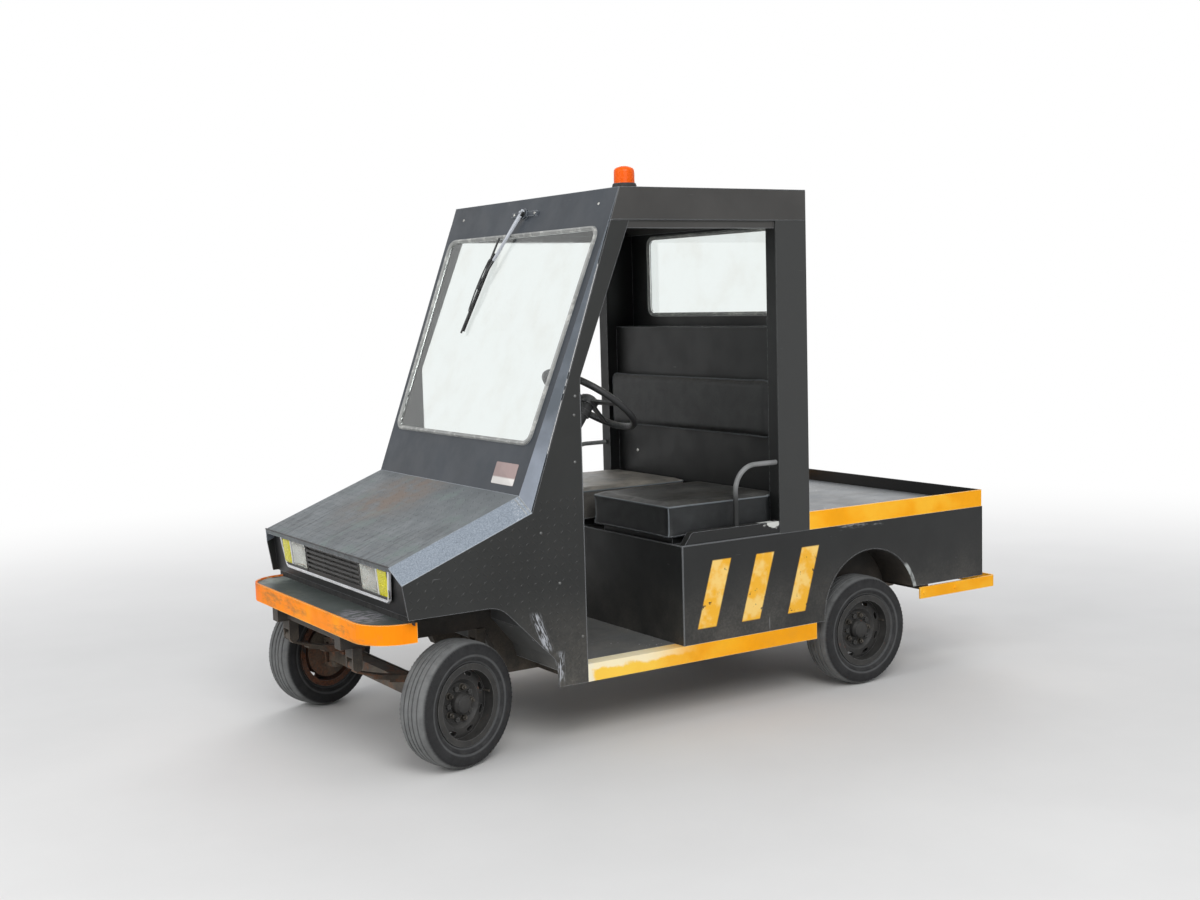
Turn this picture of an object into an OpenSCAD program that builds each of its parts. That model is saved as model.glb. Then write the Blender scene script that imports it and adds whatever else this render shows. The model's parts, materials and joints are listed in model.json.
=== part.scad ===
// Airport baggage tug: an open two-seat cab on a steel frame, with a flat cargo deck behind it.
// Millimetres. +X is forward, +Y is the driver's left, +Z is up, and the wheels stand on z = 0.

/* [Overall] */
// Length over both bumpers
length = 2880; // [2840:10:3000]
// Width over the body sides
body_w = 1240; // [1200:10:1320]
// Height of the roof's top
roof_z = 1972; // [1940:2:2060]
// Thickness of the body's sheet steel
sheet = 5; // [3:0.5:6]

/* [Body stations along X] */
// Tail panel to the face of the rear bumper
tail_gap = 77; // [60:1:120]
// Length of the cargo deck
bed_len = 953; // [900:1:1100]
// Width of the rear post, seen from the side
post_w = 148; // [120:1:170]
// Width of the door opening
door_w = 885; // [860:1:940]
// Door opening to the windshield's foot
cowl_len = 230; // [220:1:260]
// Length of the hood, measured level
hood_len = 501; // [480:1:520]
// Setback of the roof's front edge behind the windshield's foot
rake_len = 416; // [380:1:440]
// Front edge of the seat box behind the door opening's front
leg_room = 422; // [400:1:460]

/* [Body heights] */
// Underside of the sills
sill_z = 230; // [210:2:250]
// Height of the sill strip
sill_h = 64; // [50:1:80]
// Top of the seat deck and of the side panels
deck_z = 666; // [640:1:700]
// Height of the rails round the cargo deck
rail_h = 70; // [50:1:90]
// Top of the cargo floor above the side panels
floor_lift = 17; // [10:1:30]
// Underside of the body behind the rear wheels
tail_z = 371; // [350:1:385]
// Hood's front edge
hood_front_z = 720; // [700:1:740]
// Hood's rear edge
hood_rear_z = 912; // [880:1:940]
// Underside of the nose and of the front arch
nose_z = 546; // [530:1:556]
// Depth of the roof's side fascia
fascia_h = 116; // [100:1:130]
// Drop of the door header under the fascia
header_h = 28; // [20:1:40]

/* [Edges] */
// Width of the bevel along the hood, seen from the front
bevel_w = 52; // [44:1:60]
// Depth of that bevel, square to the hood
bevel_h = 60; // [50:1:64]
// Height of the hood's turned-down front lip
lip_h = 18; // [12:1:24]
// Windshield pane's top edge below the roof's edge, along the glass
pane_top = 144; // [130:1:160]
// Windshield pane's height along the glass
pane_h = 817; // [780:1:830]
// Windshield pane's half width at its top
pane_top_w = 570; // [560:1:574]
// Windshield pane's half width at its foot
pane_foot_w = 538; // [520:1:540]
// Width of the rubber round the panes
gasket_w = 16; // [12:1:20]
// Thickness of the panes
glass_t = 6; // [4:0.5:8]
// Rear pane's width
rear_pane_w = 872; // [800:2:900]
// Rear pane's lower edge
rear_pane_z = 1498; // [1480:1:1520]
// Rear pane's height
rear_pane_h = 348; // [330:1:356]

/* [Wheels and steering] */
// Tyre's outer radius
tyre_r = 220; // [214:1:224]
// Tyre's width
tyre_w = 130; // [120:1:140]
// Radius of the rim's flange
rim_r = 143; // [138:1:148]
// Rear axle ahead of the tail panel
rear_overhang = 651; // [600:1:680]
// Hand holes in a wheel's disc
hand_holes = 8; // [4:1:10]
// Distance between the axles
wheelbase = 1845; // [1830:1:1856]
// Outer face of the front tyres off the centre, wheels straight
front_track_y = 610; // [600:1:615]
// Outer face of the rear tyres off the centre
rear_track_y = 605; // [580:1:608]
// Kingpin off the centre
kingpin_y = 455; // [450:1:458]
// Kingpin's radius
kingpin_r = 11; // [9:0.5:13]
// Length of the steering arms
arm_len = 120; // [100:1:130]
// Turn of the front wheels as the tug stands, to the left
steer_rest = 17; // [0:1:18]
// Steering wheel's outer radius
wheel_rim_r = 200; // [180:1:210]
// Steering wheel's centre off the middle
driver_y = 300; // [290:1:320]
// Steering wheel's tilt from level
column_tilt = 36; // [30:1:42]

/* [Running gear] */
// Depth of the liners over the rear wheels
well_depth = 185; // [150:5:220]
// Height of the frame rails
frame_h = 70; // [60:1:76]
// Width of the frame rails
frame_w = 50; // [40:1:56]
// Frame rails' centre off the middle
frame_y = 295; // [285:1:300]
// Underside of the frame over the axles
frame_z = 410; // [400:1:420]
// Half length of the leaf springs
spring_half = 240; // [235:1:250]

/* [Bumpers and hitch] */
// Half width of the front bumper
bumper_y = 590; // [570:1:610]
// Underside of the front bumper
bumper_z = 462; // [455:1:470]
// Height of the front bumper
bumper_h = 68; // [60:1:74]
// Corner radius of the front bumper
bumper_r = 140; // [100:5:160]
// Length of the front bumper's side
bumper_side = 172; // [160:1:200]
// Underside of the rear bumper
rear_bumper_z = 314; // [300:1:320]
// Height of the rear bumper
rear_bumper_h = 48; // [40:1:52]
// Length of the rear bumper's side
rear_bumper_side = 440; // [400:1:450]
// Corner radius of the rear bumper
rear_bumper_r = 16; // [12:1:60]
// Thickness of the bumper plates
bumper_t = 8; // [6:1:10]
// Radius of the hitch pin's bore
hitch_r = 14; // [12:0.5:18]
// Length of the hitch bore over both ears
hitch_h = 62; // [54:1:70]

/* [Cab fittings] */
// Width of a seat cushion
cushion_w = 525; // [480:1:540]
// Depth of a seat cushion
cushion_d = 540; // [500:1:550]
// Thickness of a seat cushion
cushion_t = 126; // [100:1:140]
// Height of the frame under a cushion
riser_h = 24; // [16:1:30]
// Underside of the backrest
back_z = 1026; // [1000:1:1050]
// Height of the backrest
back_h = 230; // [200:1:240]
// Top of the board behind the backrest
ledge_z = 1456; // [1440:1:1470]
// Hip restraint's tube radius
hip_r = 9.5; // [8:0.5:12]
// Top of the hip restraint above the deck
hip_h = 275; // [240:1:300]
// Angle of the wiper off straight down as it parks, to the right
wiper_rest = 30; // [0:1:40]
// Wiper arm's length to the blade's middle
wiper_len = 335; // [300:1:350]

/* [Hidden] */
$fn = 48;
// Clearance between solids that lie beside each other
gap = 0.3;
// Radial clearance of a running fit
run = 0.1;
half_w = body_w / 2;
inner_y = half_w - sheet;
front_x = length / 2;
tail_x = tail_gap - length / 2;
post_rear_x = tail_x + bed_len;
post_x = post_rear_x + post_w;
door_x = post_x + door_w;
box_x = door_x - leg_room;
cowl_x = door_x + cowl_len;
hood_x = cowl_x + hood_len;
roof_x = cowl_x - rake_len;
rear_x = tail_x + rear_overhang;
axle_x = rear_x + wheelbase;
sill_top = sill_z + sill_h;
rail_top = deck_z + rail_h;
bed_z = deck_z + floor_lift;
fascia_z = roof_z - fascia_h;
door_top = fascia_z - header_h;
hood_tilt = atan2(hood_rear_z - hood_front_z, hood_len);
hood_run = norm([hood_len, hood_rear_z - hood_front_z]);
glass_tilt = atan2(rake_len, roof_z - hood_rear_z);
glass_run = norm([rake_len, roof_z - hood_rear_z]);
flat_y = half_w - bevel_w;
post_y = half_w - 60;
rail_y = half_w - 8;
arch_r = 245;
arch_x = rear_x - 15;
arch_z = 308;
nose_tilt = 5.8;
nose_top_z = hood_front_z + 9;
nose_x = hood_x - 43;
cheek_x = hood_x - 41;
bulkhead_x = cowl_x - 7;
tube_tilt = 90 - column_tilt;
wheel_z = 1205;
wheel_x = door_x - 240;
drum_r = 100;
spindle_r = 16;
bead_r = rim_r - 16;
plate_in = 48;
joist_h = 40;
frame_top = frame_z + frame_h;
rail_in = frame_y - frame_w / 2;
rail_out = frame_y + frame_w / 2;
spring_eye_z = 345;
eye_pin_r = 8;
eye_r = 16;
leaf_w = 44;
leaf_t = 8;
leaf_n = 3;
tray_x = post_rear_x + 30;
joist_x = [for (k = [0:3]) tail_x + 60 + k * (bed_len - 160) / 3];
wiper_q = 66;
bezel_y = 488;
bezel_foot_y = 458;
bezel_top = 26;
bezel_h = 112;
lamp_in = 10;
beacon_x = roof_x - 87;
beacon_y = half_w - 100;
lip_w = 30;
lip_up = 48;
cushion_y0 = inner_y - lip_w - 12 - cushion_w;
cushion_rear = post_x - 48;
hip_x = post_x + 197;
tail_lamp_y = half_w - 120;
tail_lamp_z = deck_z - 106;
tail_lamp_r = 58;
pedal_z = deck_z - 256;
pedal_hinge_z = deck_z - 26;

function unit(v) = v / norm(v);
function rot2(v, a) = [v[0] * cos(a) - v[1] * sin(a), v[0] * sin(a) + v[1] * cos(a)];
function cross2(a, b) = a[0] * b[1] - a[1] * b[0];
function reversed(p) = [for (i = [len(p) - 1:-1:0]) p[i]];

// An outline from corners [x, y, radius], each turned into an arc of n steps
function corner(a, b, c, n) = b[2] == undef || b[2] == 0 ? [[b[0], b[1]]] :
    let (p = [b[0], b[1]], u = unit([a[0], a[1]] - p), v = unit([c[0], c[1]] - p),
        half = acos(u * v) / 2, mid = p + unit(u + v) * b[2] / sin(half),
        start = p + u * b[2] / tan(half) - mid,
        turn = (180 - 2 * half) * (cross2(u, v) > 0 ? -1 : 1))
    [for (k = [0:n]) mid + rot2(start, turn * k / n)];
function rounded(c, n = 6) =
    [for (i = [0:len(c) - 1]) each corner(c[(i + len(c) - 1) % len(c)], c[i], c[(i + 1) % len(c)], n)];

// A box between two corners
module block(a, b) {
    translate([min(a[0], b[0]), min(a[1], b[1]), min(a[2], b[2])])
        cube([abs(b[0] - a[0]), abs(b[1] - a[1]), abs(b[2] - a[2])]);
}

// The same piece on both sides of the tug
module both_sides() {
    children();
    mirror([0, 1, 0]) children();
}

// A side-view outline in X and Z, from y0 to y1
module slab_y(pts, y0, y1) {
    translate([0, y1, 0]) rotate([90, 0, 0]) linear_extrude(y1 - y0) polygon(pts);
}

// A cross-section in Y and Z, from x0 to x1
module slab_x(pts, x0, x1) {
    translate([x0, 0, 0]) rotate([90, 0, 90]) linear_extrude(x1 - x0) polygon(pts);
}

// A plane across the tug: local x to the right, y down the plane, z out of it
module leaning(x, z, tilt) {
    multmatrix([[0, sin(tilt), cos(tilt), x], [-1, 0, 0, 0], [0, -cos(tilt), sin(tilt), z], [0, 0, 0, 1]])
        children();
}

module on_glass() { leaning(roof_x, roof_z, glass_tilt) children(); }

module on_nose() { leaning(nose_x, nose_top_z, -nose_tilt) children(); }

// The hood's plane: local x up the hood from its lip, z out of it
module on_hood() {
    multmatrix([[-cos(hood_tilt), 0, sin(hood_tilt), hood_x], [0, -1, 0, 0],
            [sin(hood_tilt), 0, cos(hood_tilt), hood_front_z], [0, 0, 0, 1]])
        children();
}

// A flat plate through corners o, p, q and r, its thickness behind it
module facet(o, p, q, r, t) {
    x = unit(p - o);
    n = unit(cross(p - o, q - o));
    y = cross(n, x);
    multmatrix([[x[0], y[0], n[0], o[0]], [x[1], y[1], n[1], o[1]], [x[2], y[2], n[2], o[2]], [0, 0, 0, 1]])
        translate([0, 0, -t]) linear_extrude(t)
            polygon([[0, 0], [norm(p - o), 0], [(q - o) * x, (q - o) * y], [(r - o) * x, (r - o) * y]]);
}

// Point of the hood's or bevel's edge line in X and Z, a distance up the hood and under its plane
function hood_pt(s, n) = [hood_x - s * cos(hood_tilt) + n * sin(hood_tilt),
    hood_front_z + s * sin(hood_tilt) + n * cos(hood_tilt)];
bevel_front = hood_pt(0, -bevel_h);
bevel_foot = hood_pt(hood_run, -bevel_h);
bevel_head = [roof_x, roof_z];
// X of the windshield bevel's outer edge at a height
function bevel_x(z) = bevel_head[0] + (bevel_foot[0] - bevel_head[0]) * (roof_z - z) / (roof_z - bevel_foot[1]);
// X of the windshield's outer face at a height
function glass_x(z) = roof_x + rake_len * (roof_z - z) / (roof_z - hood_rear_z);

// Side panel from the nose to the door, with the windshield pillar's strip
module front_sides() {
    foot_x = door_x + 119;
    outline = rounded([[door_x, sill_z, 0], [foot_x, sill_z, 0], [foot_x + 8, sill_z + 94, 60],
        [foot_x + 229, nose_z, 110], [cheek_x, nose_z, 0], [bevel_front[0], bevel_front[1], 0],
        [bevel_foot[0], bevel_foot[1], 0], [bevel_x(fascia_z), fascia_z, 0],
        [roof_x - 36, fascia_z, 0], [roof_x - 26, door_top, 0], [door_x, roof_z - 662, 60]]);
    color([0.13, 0.13, 0.13]) both_sides() slab_y(outline, inner_y, half_w);
}

// Folded hood: a flat top, a bevel down each side and a lip across the front
module hood() {
    lean = atan2(bevel_h, bevel_w);
    in_y = sheet * tan(lean / 2);
    foot = sheet / sin(lean);
    section = [[-half_w, -bevel_h], [-flat_y, 0], [flat_y, 0], [half_w, -bevel_h],
        [half_w - foot, -bevel_h], [flat_y - in_y, -sheet], [in_y - flat_y, -sheet], [foot - half_w, -bevel_h]];
    color([0.42, 0.43, 0.44]) on_hood() {
        slab_x(section, 0, hood_run);
        block([0, in_y - flat_y, -lip_h], [sheet, flat_y - in_y, -sheet / 2]);
    }
}

// Sloping panel behind the lamps
module nose_panel() {
    foot = (nose_top_z - nose_z) / cos(nose_tilt);
    y1 = inner_y - gap;
    outline = [[-y1, foot], [-y1, bevel_h], [8 - flat_y, 0], [flat_y - 8, 0], [y1, bevel_h], [y1, foot]];
    color([0.16, 0.16, 0.16]) on_nose() translate([0, 0, -sheet]) linear_extrude(sheet) polygon(outline);
}

// One-piece lamp frame with a slatted middle
module lamp_bezel() {
    color([0.3, 0.3, 0.3]) on_nose() {
        difference() {
            linear_extrude(14) polygon(rounded([[-bezel_y, bezel_top, 6], [bezel_y, bezel_top, 6],
                [bezel_foot_y, bezel_top + bezel_h, 6], [-bezel_foot_y, bezel_top + bezel_h, 6]], 3));
            for (s = [-1, 1]) {
                lamp_hole(s, 400, 476);
                lamp_hole(s, 250, 390);
            }
            for (k = [0:4])
                translate([-238, bezel_top + 14 + k * 18, 4]) cube([476, 10, 20]);
        }
    }
}
module lamp_hole(s, a, b, inset = 0) {
    translate([s > 0 ? a + inset : -b + inset, bezel_top + lamp_in + inset, 2])
        cube([b - a - 2 * inset, bezel_h - 2 * lamp_in - 2 * inset, 30]);
}
module lens(s, a, b, proud) {
    translate([s > 0 ? a + gap : -b + gap, bezel_top + lamp_in + gap, 2])
        linear_extrude(proud) polygon(rounded([[0, 0, 4], [b - a - 2 * gap, 0, 4],
            [b - a - 2 * gap, bezel_h - 2 * lamp_in - 2 * gap, 4], [0, bezel_h - 2 * lamp_in - 2 * gap, 4]], 3));
}
module headlamps() {
    color([0.9, 0.92, 0.9, 0.8]) on_nose() for (s = [-1, 1]) lens(s, 250, 390, 16);
}
module turn_lamps() {
    color([0.95, 0.7, 0.1]) on_nose() for (s = [-1, 1]) lens(s, 400, 476, 18);
}

// Corners of the windshield's opening, drawn in by a margin
function pane(m, r) = rounded([[-pane_top_w + m, pane_top + m, r], [pane_top_w - m, pane_top + m, r],
    [pane_foot_w - m, pane_top + pane_h - m, r], [-pane_foot_w + m, pane_top + pane_h - m, r]]);

// Sheet round the windshield, its bevels and the wiper's bearing
module windshield_frame() {
    head = [roof_x, half_w, roof_z];
    foot = [cowl_x, flat_y, hood_rear_z];
    heel = [bevel_foot[0], half_w, bevel_foot[1]];
    // Share of the bevel's length that lies behind the pillar's strip, and where the bevel plate starts
    lost = (half_w - inner_y) / (half_w - flat_y);
    start = lost + 0.02;
    low = foot + (heel - foot) * (1 - lost);
    color([0.17, 0.17, 0.17]) {
        difference() {
            union() {
                on_glass() translate([0, 0, -sheet]) linear_extrude(sheet)
                    polygon([[-inner_y, 0], [inner_y, 0], [inner_y, lost * glass_run], [flat_y, glass_run],
                        [-flat_y, glass_run], [-inner_y, lost * glass_run]]);
                both_sides() facet(head + (foot - head) * start, foot, low, low + (head - heel) * (1 - start), sheet);
            }
            on_glass() translate([0, 0, -3 * sheet]) linear_extrude(6 * sheet) polygon(pane(0, 45));
            on_glass() translate([0, wiper_q, -2 * sheet]) cylinder(h = 4 * sheet, r = 9);
        }
        on_glass() difference() {
            union() {
                translate([0, wiper_q, 0]) cylinder(h = 10, r = 20);
                translate([-95, wiper_q - 10, 0]) cube([190, 20, 6]);
            }
            translate([0, wiper_q, -1]) cylinder(h = 12, r = 7 + run);
        }
    }
}

// Rubber rings round both panes
module gaskets() {
    color([0.75, 0.76, 0.74]) {
        on_glass() translate([0, 0, -sheet - 3]) linear_extrude(sheet + 8) difference() {
            polygon(pane(gap, 45));
            polygon(pane(gasket_w, 34));
        }
        difference() {
            slab_x(rear_pane(gap, 40), post_rear_x - 4, post_rear_x + sheet + 4);
            slab_x(rear_pane(gasket_w, 28), post_rear_x - 5, post_rear_x + sheet + 5);
        }
    }
}
module panes() {
    color([0.7, 0.85, 0.85, 0.35]) {
        on_glass() translate([0, 0, -sheet]) linear_extrude(glass_t) polygon(pane(gasket_w + gap, 34));
        slab_x(rear_pane(gasket_w + gap, 28), post_rear_x, post_rear_x + glass_t);
    }
}

// Wiper: a spindle, a bent arm and a blade on the glass
module wiper() {
    blade_half = 200;
    blade_turn = 19;
    color([0.08, 0.08, 0.08]) on_glass() translate([0, wiper_q, 0]) rotate([0, 0, -wiper_rest]) {
        translate([0, 0, -3]) cylinder(h = 27, r = 7);
        translate([0, 0, 11]) cylinder(h = 13, r = 13);
        translate([-5, 0, 16]) cube([10, wiper_len, 6]);
        translate([0, wiper_len, 0]) rotate([0, 0, blade_turn]) {
            translate([-4, -blade_half, 11]) cube([8, 2 * blade_half, 5 + run]);
        }
    }
}

// Roof sheet with its side and rear fascias and the door headers
module roof() {
    side = [[post_rear_x, fascia_z], [bevel_x(fascia_z), fascia_z], [roof_x, roof_z], [post_rear_x, roof_z]];
    color([0.12, 0.12, 0.12]) {
        difference() {
            block([post_rear_x, -inner_y, roof_z - sheet], [roof_x - 6, inner_y, roof_z]);
            translate([beacon_x, beacon_y, roof_z - 2 * sheet]) cylinder(h = 4 * sheet, r = 5);
        }
        both_sides() {
            slab_y(side, inner_y, half_w);
            block([post_x + gap, inner_y - 28, door_top], [roof_x - 26, inner_y - 3, fascia_z]);
            block([post_x + gap, inner_y - 8, fascia_z], [roof_x - 26, inner_y, fascia_z + 60]);
        }
        block([post_rear_x, -inner_y, fascia_z], [post_rear_x + sheet, inner_y, roof_z - sheet]);
    }
}

module beacon_base() {
    color([0.1, 0.1, 0.1]) translate([beacon_x, beacon_y, roof_z]) {
        cylinder(h = 18, r = 41);
        translate([0, 0, -12]) cylinder(h = 12, r = 5 - gap);
    }
}
module beacon_lens() {
    color([1, 0.45, 0.05]) translate([beacon_x, beacon_y, roof_z + 18])
        rotate_extrude() polygon(concat([[0, 0], [38, 0], [37, 46]],
            [for (a = [15:15:90]) [37 * cos(a), 46 + 18 * sin(a)]]));
}

// Rear wall with its posts, and the board that carries the backrest
module cab_rear() {
    pane_r = 40;
    board_x = post_x - 55;
    color([0.11, 0.11, 0.11]) {
        slab_x_holed();
        both_sides() difference() {
            block([post_rear_x + sheet, post_y, deck_z], [post_x, half_w, fascia_z]);
            block([post_rear_x + 2 * sheet, post_y + sheet, deck_z - 1],
                [post_x - sheet, half_w - sheet, fascia_z + 1]);
        }
        block([board_x, -post_y, deck_z], [board_x + sheet, post_y, ledge_z]);
        block([post_rear_x + sheet, -post_y, ledge_z - sheet], [board_x, post_y, ledge_z]);
    }
}
module slab_x_holed() {
    difference() {
        slab_x([[-half_w, deck_z], [half_w, deck_z], [half_w, fascia_z], [-half_w, fascia_z]],
            post_rear_x, post_rear_x + sheet);
        slab_x(rear_pane(0, 40), post_rear_x - 1, post_rear_x + sheet + 1);
    }
}
function rear_pane(m, r) = rounded([[-rear_pane_w / 2 + m, rear_pane_z + m, r],
    [rear_pane_w / 2 - m, rear_pane_z + m, r], [rear_pane_w / 2 - m, rear_pane_z + rear_pane_h - m, r],
    [-rear_pane_w / 2 + m, rear_pane_z + rear_pane_h - m, r]]);
// Cab floor and the folded bulkhead ahead of the driver's feet
function bulkhead_line() = [[door_x + 122, sill_top], [door_x + 137, sill_top + 46],
    [bulkhead_x, sill_top + 150], [bulkhead_x, sill_top + 160]];
module floor_pan() {
    line = bulkhead_line();
    back = [for (p = line) [p[0] - sheet, p[1]]];
    fold_z = line[3][1];
    wall = [[-inner_y, fold_z], [inner_y, fold_z], [inner_y, bevel_foot[1] - 12], [flat_y - 12, hood_rear_z - 12],
        [12 - flat_y, hood_rear_z - 12], [-inner_y, bevel_foot[1] - 12]];
    color([0.2, 0.2, 0.2]) {
        block([tray_x, -post_y, sill_top - sheet], [line[0][0], post_y, sill_top]);
        block([door_x + gap, -inner_y, sill_top - sheet], [line[0][0], inner_y, sill_top]);
        slab_y(concat(line, reversed(back)), -inner_y, inner_y);
        slab_x(wall, bulkhead_x - sheet, bulkhead_x);
    }
}

// Ladder frame's rails: low under the cab, raised over both axles
module frame_rails() {
    line = bulkhead_line();
    low = sill_top - sheet;
    end_x = front_x - bumper_t;
    kick_x = axle_x - spring_half - 19;
    kick_rear_x = rear_x + spring_half + 19;
    side = [[tail_x + sheet, frame_z], [kick_rear_x, frame_z], [tray_x - 20, sill_z], [line[0][0] + 35, sill_z],
        [kick_x, frame_z], [end_x, frame_z], [end_x, frame_top], [bulkhead_x, frame_top],
        [bulkhead_x, line[2][1]], [line[1][0], line[1][1]], [line[0][0], low], [tray_x, low],
        [tray_x - 60, frame_top], [tail_x + sheet, frame_top]];
    color([0.1, 0.1, 0.1]) both_sides() {
        slab_y(side, rail_in, rail_out);
        block([bumper_t - front_x, rail_in, rear_bumper_z + 4], [tail_x + 120, rail_out, tail_z]);
        block([tail_x + sheet, rail_in, rear_bumper_z + 4], [tail_x + 120, rail_out, frame_z]);
    }
}

// Members across the frame, out to the sills and up to the cargo deck
module frame_members() {
    low = sill_top - sheet;
    cross_x = [axle_x - 130, axle_x + 210, tray_x - 60 - frame_w, tail_x + sheet, rear_x - 150];
    floor_x = [tray_x + 60, box_x - 20, door_x];
    color([0.1, 0.1, 0.1]) {
        for (x = cross_x) block([x, -rail_in, frame_z + 8], [x + frame_w, rail_in, frame_top]);
        for (x = floor_x) block([x, -rail_in, sill_z], [x + 40, rail_in, low]);
        both_sides() {
            for (x = floor_x) block([x, rail_out, sill_z + 4], [x + 40, post_y, low]);
            for (x = joist_x) block([x, rail_in, frame_top], [x + 30, rail_out, bed_z - sheet - joist_h]);
            block([front_x - bumper_t - 140, rail_in, frame_top], [front_x - bumper_t, rail_out, bumper_z + bumper_h - 14]);
            block([rear_x - 340, rail_in, frame_z - 60], [rear_x - 300, half_w - bumper_t, frame_z - 40]);
            block([rear_x - 340, rail_in, frame_z - 60], [rear_x - 300, rail_out, frame_z]);
        }
    }
}

// Hangers under the rails, each with a pin for a spring's eye
module spring_hangers() {
    color([0.1, 0.1, 0.1]) both_sides()
        for (x = [axle_x - spring_half, axle_x + spring_half, rear_x - spring_half, rear_x + spring_half])
            spring_hanger(x);
}
module spring_hanger(x) {
    difference() {
        union() {
            block([x - 18, rail_in - 6, spring_eye_z], [x + 18, rail_out + 6, frame_z]);
            translate([x, rail_out + 6, spring_eye_z]) rotate([90, 0, 0]) cylinder(h = frame_w + 12, r = 18);
        }
        block([x - 30, frame_y - leaf_w / 2 - 1, spring_eye_z - 30], [x + 30, frame_y + leaf_w / 2 + 1, spring_eye_z + 30]);
    }
    translate([x, frame_y + leaf_w / 2 + 6, spring_eye_z]) rotate([90, 0, 0])
        cylinder(h = leaf_w + 12, r = eye_pin_r);
}

// Leaf pack from hanger to hanger, seated on an axle, with a rolled eye at each end
module leaf_spring(x, seat_z) {
    rise = spring_eye_z - eye_r - seat_z - leaf_n * leaf_t;
    rad = (spring_half * spring_half + rise * rise) / (2 * rise);
    both_sides() translate([x, frame_y + leaf_w / 2, 0]) rotate([90, 0, 0]) {
        linear_extrude(leaf_w) translate([0, seat_z + leaf_n * leaf_t + rad]) for (k = [0:leaf_n - 1]) {
            half = asin((spring_half - k * 62) / rad);
            intersection() {
                difference() {
                    circle(r = rad + leaf_t * (k + 1), $fn = 360);
                    circle(r = rad + leaf_t * k, $fn = 360);
                }
                polygon([[0, 0], rot2([0, -2 * rad], -half), rot2([0, -2 * rad], half)]);
            }
        }
        for (s = [-1, 1]) translate([s * spring_half, spring_eye_z, 0]) difference() {
            cylinder(h = leaf_w, r = eye_r);
            translate([0, 0, -1]) cylinder(h = leaf_w + 2, r = eye_pin_r + gap);
        }
    }
}

module front_axle() {
    beam = 27;
    color([0.15, 0.14, 0.13]) {
        difference() {
            union() {
                block([axle_x - beam, -kingpin_y, tyre_r - beam], [axle_x + beam, kingpin_y, tyre_r + beam]);
                for (s = [-1, 1]) translate([axle_x, s * kingpin_y, tyre_r - 40]) cylinder(h = 80, r = 25);
            }
            for (s = [-1, 1]) translate([axle_x, s * kingpin_y, tyre_r - 60])
                cylinder(h = 120, r = kingpin_r + run);
        }
        both_sides() block([axle_x - 45, frame_y - 30, tyre_r + beam], [axle_x + 45, frame_y + 30, tyre_r + beam + 12]);
        leaf_spring(axle_x, tyre_r + beam + 12);
    }
}

// Front knuckle: a yoke on the kingpin, a brake backing plate, a spindle and a steering arm
module knuckle() {
    ear_r = 24;
    y0 = front_track_y - tyre_w / 2 - plate_in - 14;
    z = tyre_r;
    color([0.16, 0.15, 0.14]) difference() {
        union() {
            for (e = [[z + 41, z + 58], [z - 58, z - 41]]) {
                translate([axle_x, kingpin_y, e[0]]) cylinder(h = e[1] - e[0], r = ear_r);
                block([axle_x - ear_r, kingpin_y, e[0]], [axle_x + ear_r, y0 + 10, e[1]]);
            }
            block([axle_x - ear_r, y0, z - 58], [axle_x + ear_r, y0 + 10, z + 58]);
            translate([axle_x, kingpin_y, z - 62]) cylinder(h = 124, r = kingpin_r);
            translate([axle_x, y0 + 10, z]) rotate([-90, 0, 0]) cylinder(h = 4, r = drum_r + 4);
            translate([axle_x, y0 + 10, z]) rotate([-90, 0, 0]) cylinder(h = plate_in + 34, r = spindle_r);
            block([axle_x - arm_len, kingpin_y - 11, z - 58], [axle_x, kingpin_y + 11, z - 42]);
            translate([axle_x - arm_len, kingpin_y, z - 58]) cylinder(h = 16, r = 15);
            translate([axle_x - arm_len, kingpin_y, z - 58]) cylinder(h = 50, r = 6);
        }
    }
}

module steered(s) {
    translate([axle_x, s * kingpin_y, 0]) rotate([0, 0, steer_rest])
        translate([-axle_x, -s * kingpin_y, 0]) children();
}
module knuckle_left() { steered(1) knuckle(); }
module knuckle_right() { steered(-1) mirror([0, 1, 0]) knuckle(); }

// Straight rod between the steering arms, an eye on each arm's stud
module tie_rod() {
    stud = rot2([-arm_len, 0], steer_rest);
    x = axle_x + stud[0];
    z = tyre_r - 42;
    color([0.2, 0.2, 0.2]) difference() {
        union() {
            for (s = [-1, 1]) translate([x, s * kingpin_y + stud[1], z + 3]) cylinder(h = 26, r = 14);
            translate([x, kingpin_y + stud[1], z + 16]) rotate([90, 0, 0]) cylinder(h = 2 * kingpin_y, r = 10);
        }
        for (s = [-1, 1]) translate([x, s * kingpin_y + stud[1], z]) cylinder(h = 40, r = 6 + 3 * run);
    }
}

// Rear axle: a drive motor ahead of a bulged housing, tubes, springs' seats and brake plates
module rear_axle() {
    plate_y = rear_track_y - tyre_w / 2 - plate_in - 4;
    color([0.14, 0.13, 0.13]) {
        translate([rear_x, 0, tyre_r]) {
            translate([0, plate_y, 0]) rotate([90, 0, 0]) cylinder(h = 2 * plate_y, r = 36);
            rotate([90, 0, 0]) translate([0, 0, -55]) cylinder(h = 110, r = 105);
            rotate([0, 90, 0]) cylinder(h = 130, r = 58);
            translate([130, 0, 0]) rotate([0, 90, 0]) cylinder(h = 150, r = 92);
            translate([280, 0, 0]) rotate([0, 90, 0]) cylinder(h = 14, r = 60);
            both_sides() {
                translate([0, plate_y, 0]) rotate([-90, 0, 0]) cylinder(h = 4, r = drum_r + 4);
                translate([0, plate_y, 0]) rotate([-90, 0, 0]) cylinder(h = plate_in + 34, r = spindle_r);
                block([-45, frame_y - 30, 30], [45, frame_y + 30, 42]);
            }
        }
        leaf_spring(rear_x, tyre_r + 42);
    }
}

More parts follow.
